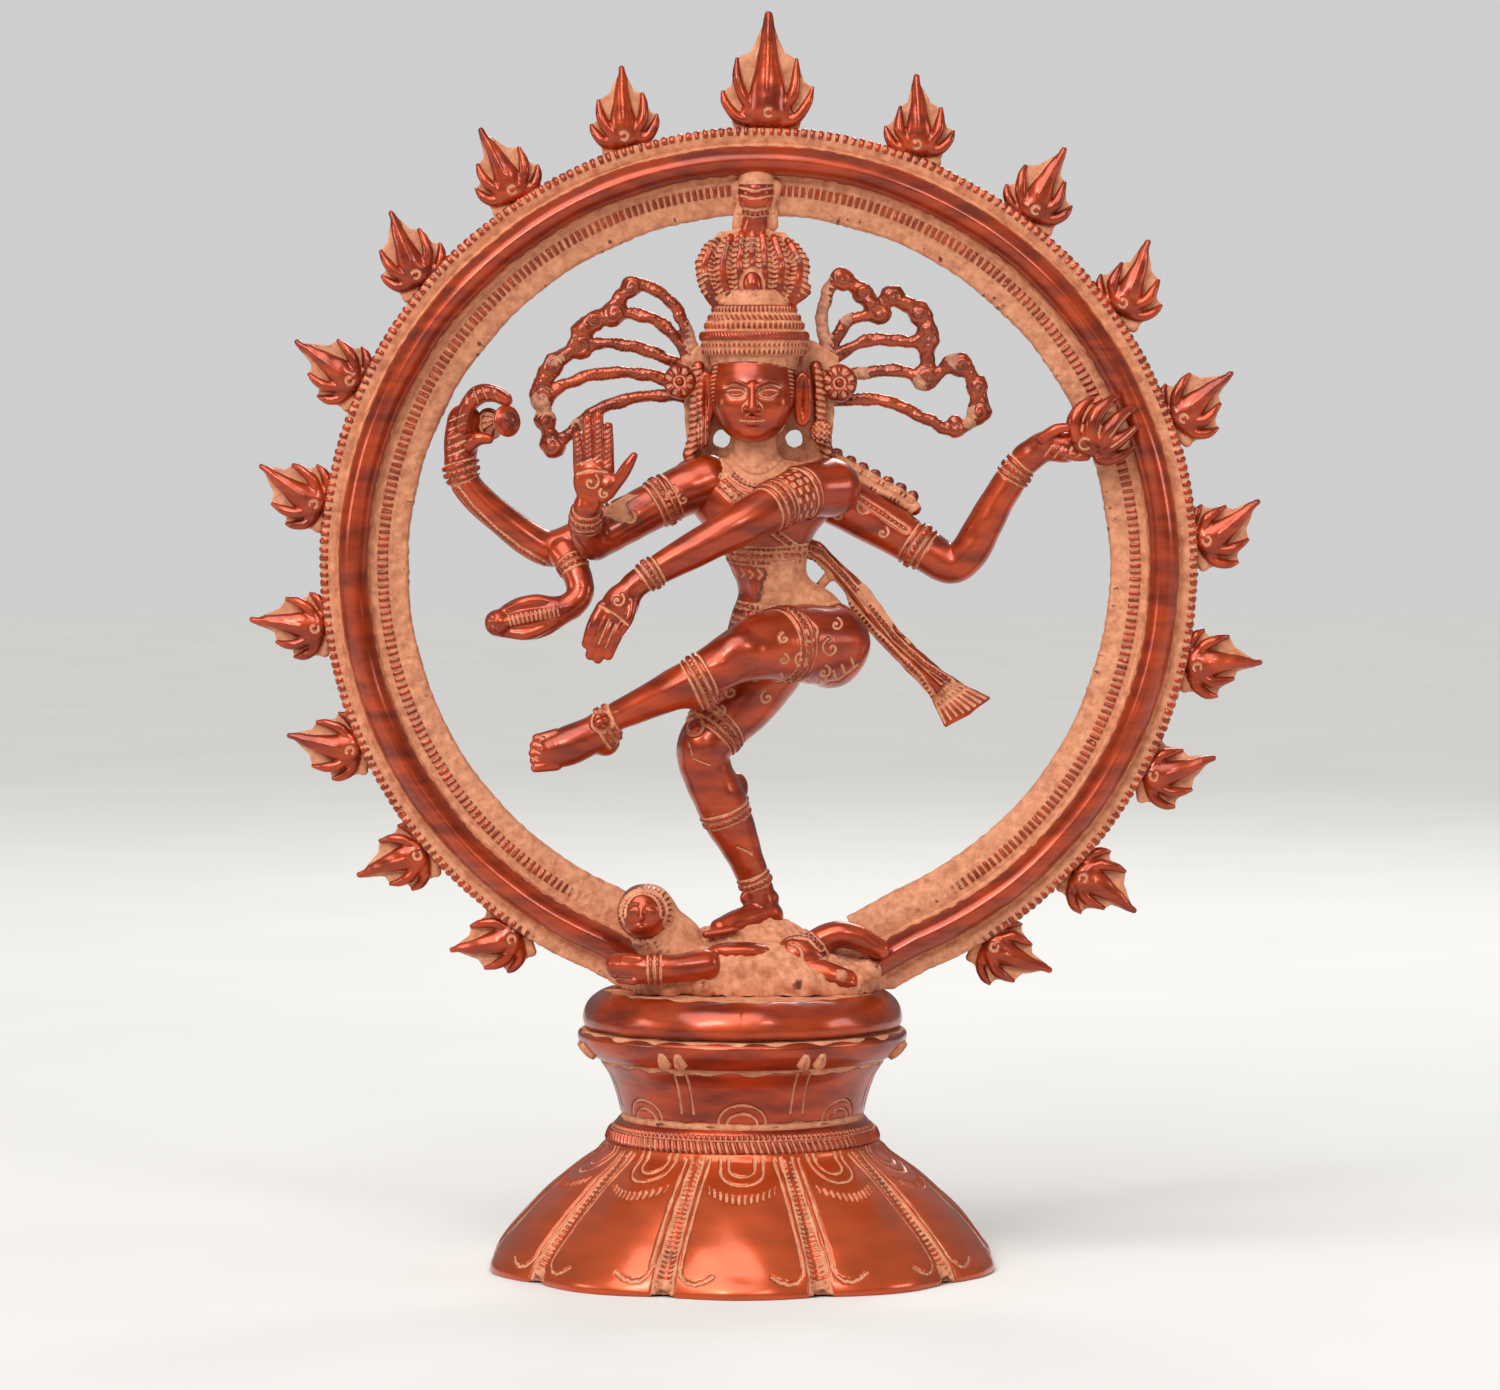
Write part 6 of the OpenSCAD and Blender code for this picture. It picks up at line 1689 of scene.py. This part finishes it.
rear_right = smooth_line([(-16, 2.6, 152.6, 7.6), (-26, 2.4, 147.8, 7.0), (-40, 1, 141.6, 6.6),
    (-52, -0.4, 135.8, 6.0), (-62, -1, 132.6, 5.5), (-69, -1.4, 135.4, 5.2), (-76, -2.4, 140.6, 4.9),
    (-83, -3.4, 146.6, 4.8), (-87.6, -4, 152.0, 4.6), (-89.2, -4, 157.0, 4.7)], 1)
wax = Wax((-98, -13, 123), (-8, 12, 190), 0.4)
wax.limb(rear_right, 1.0)
wax.curve([(-89.2, -4, 157, 4.8), (-89.2, -4, 163, 5.2), (-88.0, -4, 170.4, 5.4)], 0.8, 1.4, 1.0,
    (1, 0.85, 1))
for i in range(4):
    y = -9.0 + i * 3.0
    lift_i = (0.4, 1.2, 1.0, 0.0)[i]
    wax.curve([(-88.6, y * 0.8 - 0.8, 169.0, 2.4), (-86.8, y, 175.0 + lift_i, 2.3),
        (-83.0, y - 0.2, 178.4 + lift_i, 2.2), (-79.0, y - 0.2, 178.4 + lift_i * 0.8, 2.1),
        (-75.6, y - 0.1, 176.8 + lift_i * 0.6, 1.8)], 0.8, 0.5)
wax.curve([(-86.6, -8, 163.6, 2.3), (-83.6, -10.0, 165.6, 2.1), (-80.6, -10.6, 165.4, 1.6)], 0.8, 0.5)
arm = Casting(wax, 1)
around = arm.follow(rear_right)
arm.rings(around, ((29.6, 1.2, 0.5, 0), (31.8, 1.9, 0.8, 22), (34.0, 1.2, 0.5, 0), (85.2, 1.3, 0.7, 0),
    (87.2, 1.7, 0.8, 18), (89.2, 1.3, 0.7, 0)), reach=8.5)
arm.cord([(-64.5, 128.0), (-72, 132.6), (-79, 138.2), (-86.0, 145.0), (-91.0, 151.6)], 0.6, 0.45, 1.4)
for i in range(5):
    arm.line([(-92.6, 160.4 + i * 2.6), (-87.6, 162.4 + i * 2.6)], 0.26, 0.26, -0.6)
for i in range(4):
    arm.line([(-88.4 + i * 3.0, 181.2 - abs(i - 1) * 0.3), (-86.6 + i * 3.0, 176.0)], 0.25, 0.24, -0.6)
arm.curls(((-45.6, 139.0, 2.0, 1), (-57.2, 133.8, 1.9, -1)), 0.28, 0.28)
arm.weather(2.0, 14, 0.14, 167, 9)
arm.polish -= 0.2 * step_up(2.0, 5.0, arm.of("y"))
arm.place("rear_right_arm")


# ---- Rear left arm ----
# The arm that reaches out and up with the flame. Its upper part carries chased curls and an
# armlet, and the hand opens under the flame against the arch.

rear_left = smooth_line([(17, 2.8, 150.6, 8.2), (26, 3, 146.0, 7.9), (34, 3, 141.4, 7.4),
    (42, 2.4, 136.8, 6.9), (50, 1.4, 131.8, 6.4), (57.6, 0.2, 128.0, 6.0), (62.4, -0.8, 130.8, 5.8),
    (67.4, -2, 139.4, 5.5), (72.4, -3, 148.6, 5.0), (77.4, -4, 156.4, 4.5), (80.4, -4.6, 159.8, 4.4)], 1)
wax = Wax((8, -16, 119), (104, 13, 173), 0.4)
wax.limb(rear_left, 1.0)
wax.curve([(80.4, -4.6, 159.8, 4.5), (85.6, -6, 163.2, 5.0), (91, -7, 162.8, 4.8)], 0.8, 1.4, 1.0,
    (1, 0.85, 0.95))
for i in range(4):
    wax.curve([(88.0 + i * 0.5, -9.4 + i * 1.9, 162.4 + i * 0.4, 1.9),
        (94.0 + i * 0.3, -9.6 + i * 1.7, 160.6 + i * 0.8, 1.8), (99.0 - abs(i - 1.5) * 1.0,
        -9.2 + i * 1.5, 160.2 + i * 1.0, 1.4)], 0.8, 0.25)
wax.curve([(84.6, -9.4, 165.6, 2.0), (88.4, -10.6, 168.2, 1.8), (91.8, -10.8, 169.0, 1.3)], 0.8, 0.4)
arm = Casting(wax, 1)
around = arm.follow(rear_left)
arm.rings(around, ((33.2, 1.2, 0.5, 0), (35.4, 1.9, 0.8, 24), (37.6, 1.2, 0.5, 0), (79.8, 1.2, 0.65, 0),
    (81.8, 1.7, 0.85, 18), (83.8, 1.2, 0.65, 0)), reach=9)
arm.curls(((25.0, 149.0, 2.6, 1), (31.5, 144.6, 2.2, -1), (24.0, 142.6, 1.9, -1), (37.0, 137.4, 1.9, 1)),
    0.3, 0.32)
arm.cord([(13, 158.0), (21, 153.6), (30, 147.6), (38, 142.4), (44, 138.4)], 0.6, 0.4, 1.5)
for i in range(4):
    arm.line([(85.0 + i * 3.0, 160.0 - i * 0.3), (87.4 + i * 3.0, 163.6 - i * 0.3)], 0.25, 0.24, -0.6)
arm.weather(2.0, 14, 0.14, 169, 9)
arm.polish -= 0.2 * step_up(3.5, 7.0, arm.of("y"))
arm.place("rear_left_arm")


# ---- Hand drum ----
# The small hourglass drum held in the rear right hand, seen nearly end on as a burnished disc, with
# its waist and cords behind.

wax = Wax((-87, -15, 161), (-65, 1, 181), 0.28)
drum_axis = np.array((6.0, -7.4, 1.0))
drum_axis /= np.linalg.norm(drum_axis)
drum_centre = np.array((-77.8, -6.6, 170.4))
for t in (-1, 1):
    rim_at = drum_centre + drum_axis * t * 4.4
    neck_at = drum_centre + drum_axis * t * 0.8
    wax.limb([(*neck_at, 2.4), (*(rim_at - drum_axis * t * 1.6), 4.2)], 0.4, 0.5)
    wax.ball(rim_at, (1.6, 4.8, 4.9), 0.3, 1.0, (0, -8, -51))
drum = Casting(wax, 1)
along = (drum.points - drum_centre) @ drum_axis
away = drum.points - drum_centre - along[:, None] * drum_axis
spin = np.arctan2(away[:, 2], away[:, 1])
laces = 0.5 + 0.5 * np.cos(spin * 9 + along * 1.2)
on_body = step_down(2.6, 3.2, np.abs(along))
drum.work(0.3 * (laces - 0.5) * on_body, -0.7 * (1 - laces) * on_body)
hoop = step_down(0.2, 0.5, np.abs(np.abs(along) - 3.5))
drum.work(-0.25 * hoop, -0.8 * hoop)
drum.weather(2.2, 8, 0.08, 171, 4)
drum.place("hand_drum")


# ---- Hand flame ----
# The flame on the rear left palm: five tongues that lick up and outward, their tips resting against
# the inner flange of the arch, with patina between them.

wax = Wax((86, -16, 152), (117, 0, 182), 0.3)
wax.ball((98.5, -8.2, 165.2), (6.6, 3.6, 5.4), 1.2)
wax.ball((103.5, -6.6, 166.5), (7.4, 2.6, 7.4), 1.2, 0.05)
for path in ([(95, -9.4, 166, 2.6), (94.0, -10.0, 171, 2.3), (96.4, -9.6, 175.4, 1.6),
        (99.6, -9.0, 177.8, 0.7)], [(99, -10.2, 166, 2.9), (99.6, -10.8, 171.4, 2.5),
        (103.0, -10.2, 175.6, 1.8), (107.0, -9.2, 178.2, 0.8)], [(102, -10.2, 165, 2.8),
        (105.0, -10.6, 169.4, 2.4), (108.4, -9.8, 172.8, 1.7), (112.0, -8.8, 174.8, 0.8)],
        [(103, -9.6, 162.4, 2.6), (107.0, -9.8, 165.0, 2.2), (110.4, -9.0, 167.4, 1.5),
        (113.0, -8.2, 169.6, 0.7)], [(102, -8.8, 159.6, 2.4), (106.0, -8.6, 159.8, 1.9),
        (110.0, -7.8, 161.6, 1.1), (112.0, -7.0, 163.4, 0.6)]):
    wax.curve(path, 0.8, 0.25)
flame = Casting(wax, 1)
flame.line(circle(97.0, 164.0, 1.7, 0.9, 5.4, 10), 0.32, 0.35)
for line in ([(96, 168), (97, 173), (99, 176)], [(101, 167), (102.4, 172), (105.4, 176)],
        [(104.4, 166), (107.6, 170), (110.6, 173)], [(105, 163), (109, 166), (112, 168.6)]):
    flame.line(line, 0.26, 0.26, -0.8)
flame.weather(3.0, 10, 0.12, 173, 5)
flame.polish -= 0.9 * step_up(-7.5, -5, flame.of("y"))
flame.place("hand_flame")


# ---- Cobra ----
# The snake that comes over the rear right forearm and turns left into a long spread hood, ribbed
# down its middle, with a blunt head.

snake = smooth_line([(-58.5, -6.5, 131.5, 4.8), (-55.4, -10.0, 127.2, 4.5), (-53.4, -12.2, 122.0, 4.2),
    (-53.6, -13.4, 118.4, 4.0), (-56.8, -14.2, 115.4, 4.2), (-61, -14.8, 114.0, 4.6)], 1)
wax = Wax((-87, -24, 100), (-46, 0, 139), 0.32)
wax.limb(snake, 1.0)
wax.ball((-68.0, -15.2, 112.4), (10.8, 3.6, 6.7), 1.4, 1.0, (0, -9, 0))
wax.curve([(-61, -17.6, 114.0, 1.6), (-69, -18.6, 112.6, 1.9), (-76, -17.8, 111.0, 1.6)], 1, 0.6, 0.7)
for dz in (-1, 1):
    wax.curve([(-60.5, -16.4, 114 + dz * 2.8, 1.7), (-68.6, -17.2, 112.4 + dz * 4.8, 1.8),
        (-76.4, -16.2, 110.8 + dz * 2.8, 1.6)], 1, 0.35)
wax.ball((-77.6, -16.6, 110.8), (4.0, 3.6, 4.0), 0.6)
cobra = Casting(wax, 1)
far, run = along_line(cobra.of("x"), cobra.of("z"), [(-59, 114.4), (-69, 112.7), (-75, 111.2)])
on_belly = step_down(1.3, 1.9, far) * cobra.seen_from((0, -1, 0)) * (run > 0.5) * (run < 15.6)
ribs = 0.5 + 0.5 * np.cos(run * 2 * math.pi / 1.35)
cobra.work(0.35 * (ribs - 0.5) * on_belly, -0.75 * (1 - ribs) * on_belly)
for dx, dz in ((-79.2, 112.6), (-78.8, 109.2)):
    eye = np.hypot(cobra.of("x") - dx, cobra.of("z") - dz)
    cobra.work(0.35 * step_down(0.4, 0.9, eye) * cobra.seen_from((0, -1, 0)),
        -0.6 * step_down(0.1, 0.4, np.abs(eye - 1.1)))
around = cobra.follow(snake)
for at in (1.2, 3.0):
    cobra.ring(around, at + 4, 1.2, 0.5, 16, reach=7)
cobra.weather(2.2, 12, 0.1, 175, 6)
cobra.polish -= 0.2 * step_up(-11, -8, cobra.of("y"))
cobra.place("cobra")


# ---- Scarf ----
# The scalloped end of the shoulder cloth, a beaded strip of patinated metal along the top of the
# rear left arm.

wax = Wax((9, -5, 138), (53, 10, 168), 0.32)
scarf_line = smooth_line([(13, 3.4, 160.8, 2.8), (20, 3.6, 159.6, 3.0), (28, 4, 155.6, 2.9),
    (36, 4, 151.0, 2.8), (42, 4, 148.0, 2.6), (46.5, 4, 144.6, 2.2)], 1)
wax.limb(scarf_line, 0.5, 0.2, (1, 0.8, 1))
for k in range(9):
    p = scarf_line[int((k + 0.5) / 9 * (len(scarf_line) - 1))]
    wax.ball((p[0] + 1.4, p[1] - 0.4, p[2] + 2.1), (1.9, 1.5, 1.9), 0.35, 0.4)
scarf = Casting(wax, 1)
scarf.cord([(p[0] + 1.0, p[2] + 0.9) for p in scarf_line[::3]], 0.7, 0.5, 1.5, 0.1)
scarf.cord([(p[0] - 0.6, p[2] - 1.2) for p in scarf_line[::3]], 0.6, 0.4, 1.3, 0.1)
scarf.weather(2.0, 8, 0.16, 177, 4)
scarf.polish += 0.35 * step_up(0.3, 0.9, unevenness(*scarf.points.T, 5, 179))
scarf.place("scarf", "patinated_brass")


# ---- Sash ----
# The flying end of the waist cloth, a long flat tongue with lengthwise ribs that flares at its
# grooved end. A narrow loop of it stands open beside the hip.

wax = Wax((4, -3.5, 74), (75, 9.5, 140), 0.36)
sash_edge = [(9, 134), (13, 136.6), (18, 134.6), (25, 128), (32, 121.6), (37, 115), (42, 108),
    (48, 102.2), (55, 96), (61.6, 91.6), (69.6, 87.6), (63.4, 82.6), (56, 78.8), (53.6, 83.4),
    (51.4, 88.4), (46, 94.0), (40, 100.4), (34, 106.4), (30, 110.6), (27.4, 115), (26, 119),
    (21.6, 124.4), (16, 129.4), (8.6, 131)]
wax.sheet(sash_edge, 0.8, 5.8, 1.6, 0.75)
for offset in (-0.8, 1.0):
    rib = smooth_line([(11, 1.0, 133.6 + offset, 1.2), (20, 0.8, 129.4 + offset, 1.25),
        (29, 0.7, 118.4 + offset, 1.25), (38, 0.6, 107 + offset * 1.8, 1.3),
        (47, 0.6, 98.4 + offset * 2.2, 1.3), (55, 0.6, 91.4 + offset * 2.6, 1.3)], 1)
    wax.limb(rib, 0.5, 0.95)
loop = smooth_line([(17, 1.4, 119.5, 1.5), (22, 1.4, 124.6, 1.5), (27, 1.6, 122.4, 1.4),
    (29.5, 1.8, 116.4, 1.3)], 1)
wax.limb(loop, 0.5, 0.6)
sash = Casting(wax, 1)
sash.cord([(11, 134.4), (19, 131.4), (26, 123.8), (33, 115.6), (41, 105.6), (49, 98.4), (58, 92.4)], 0.6,
    0.4, 1.5)
sash.cord([(13, 131.2), (20, 126.0), (26.5, 117.2), (34, 108.4), (41, 101.2), (48, 94.4), (52.6, 87.4)],
    0.6, 0.4, 1.5)
for i in range(8):
    t = i / 7
    end = (55.8 + 12.4 * t, 80.4 + 7.2 * t)
    start = (52.4 + 5.6 * t, 87.4 + 5.4 * t)
    sash.line([start, end], 0.32, 0.42)
    sash.line([start, end], 0.32, 0.3, -0.5, side=(0, 1, 0))
for t in (0.2, 0.42):
    sash.line([(52 + 4.4 * t, 88.4 - 9 * t), (59 + 9.6 * t, 93.6 - 5.6 * t)], 0.3, 0.35)
sash.weather(2.2, 12, 0.2, 181, 7)
sx, sy, sz = sash.points.T
sash.polish -= 0.75 * step_up(0.0, 0.9, unevenness(sx, sy, sz, 9, 183)) * (sz > 104) + 0.8 * step_up(3,
    5.4, sy)
sash.place("sash", "patinated_brass")
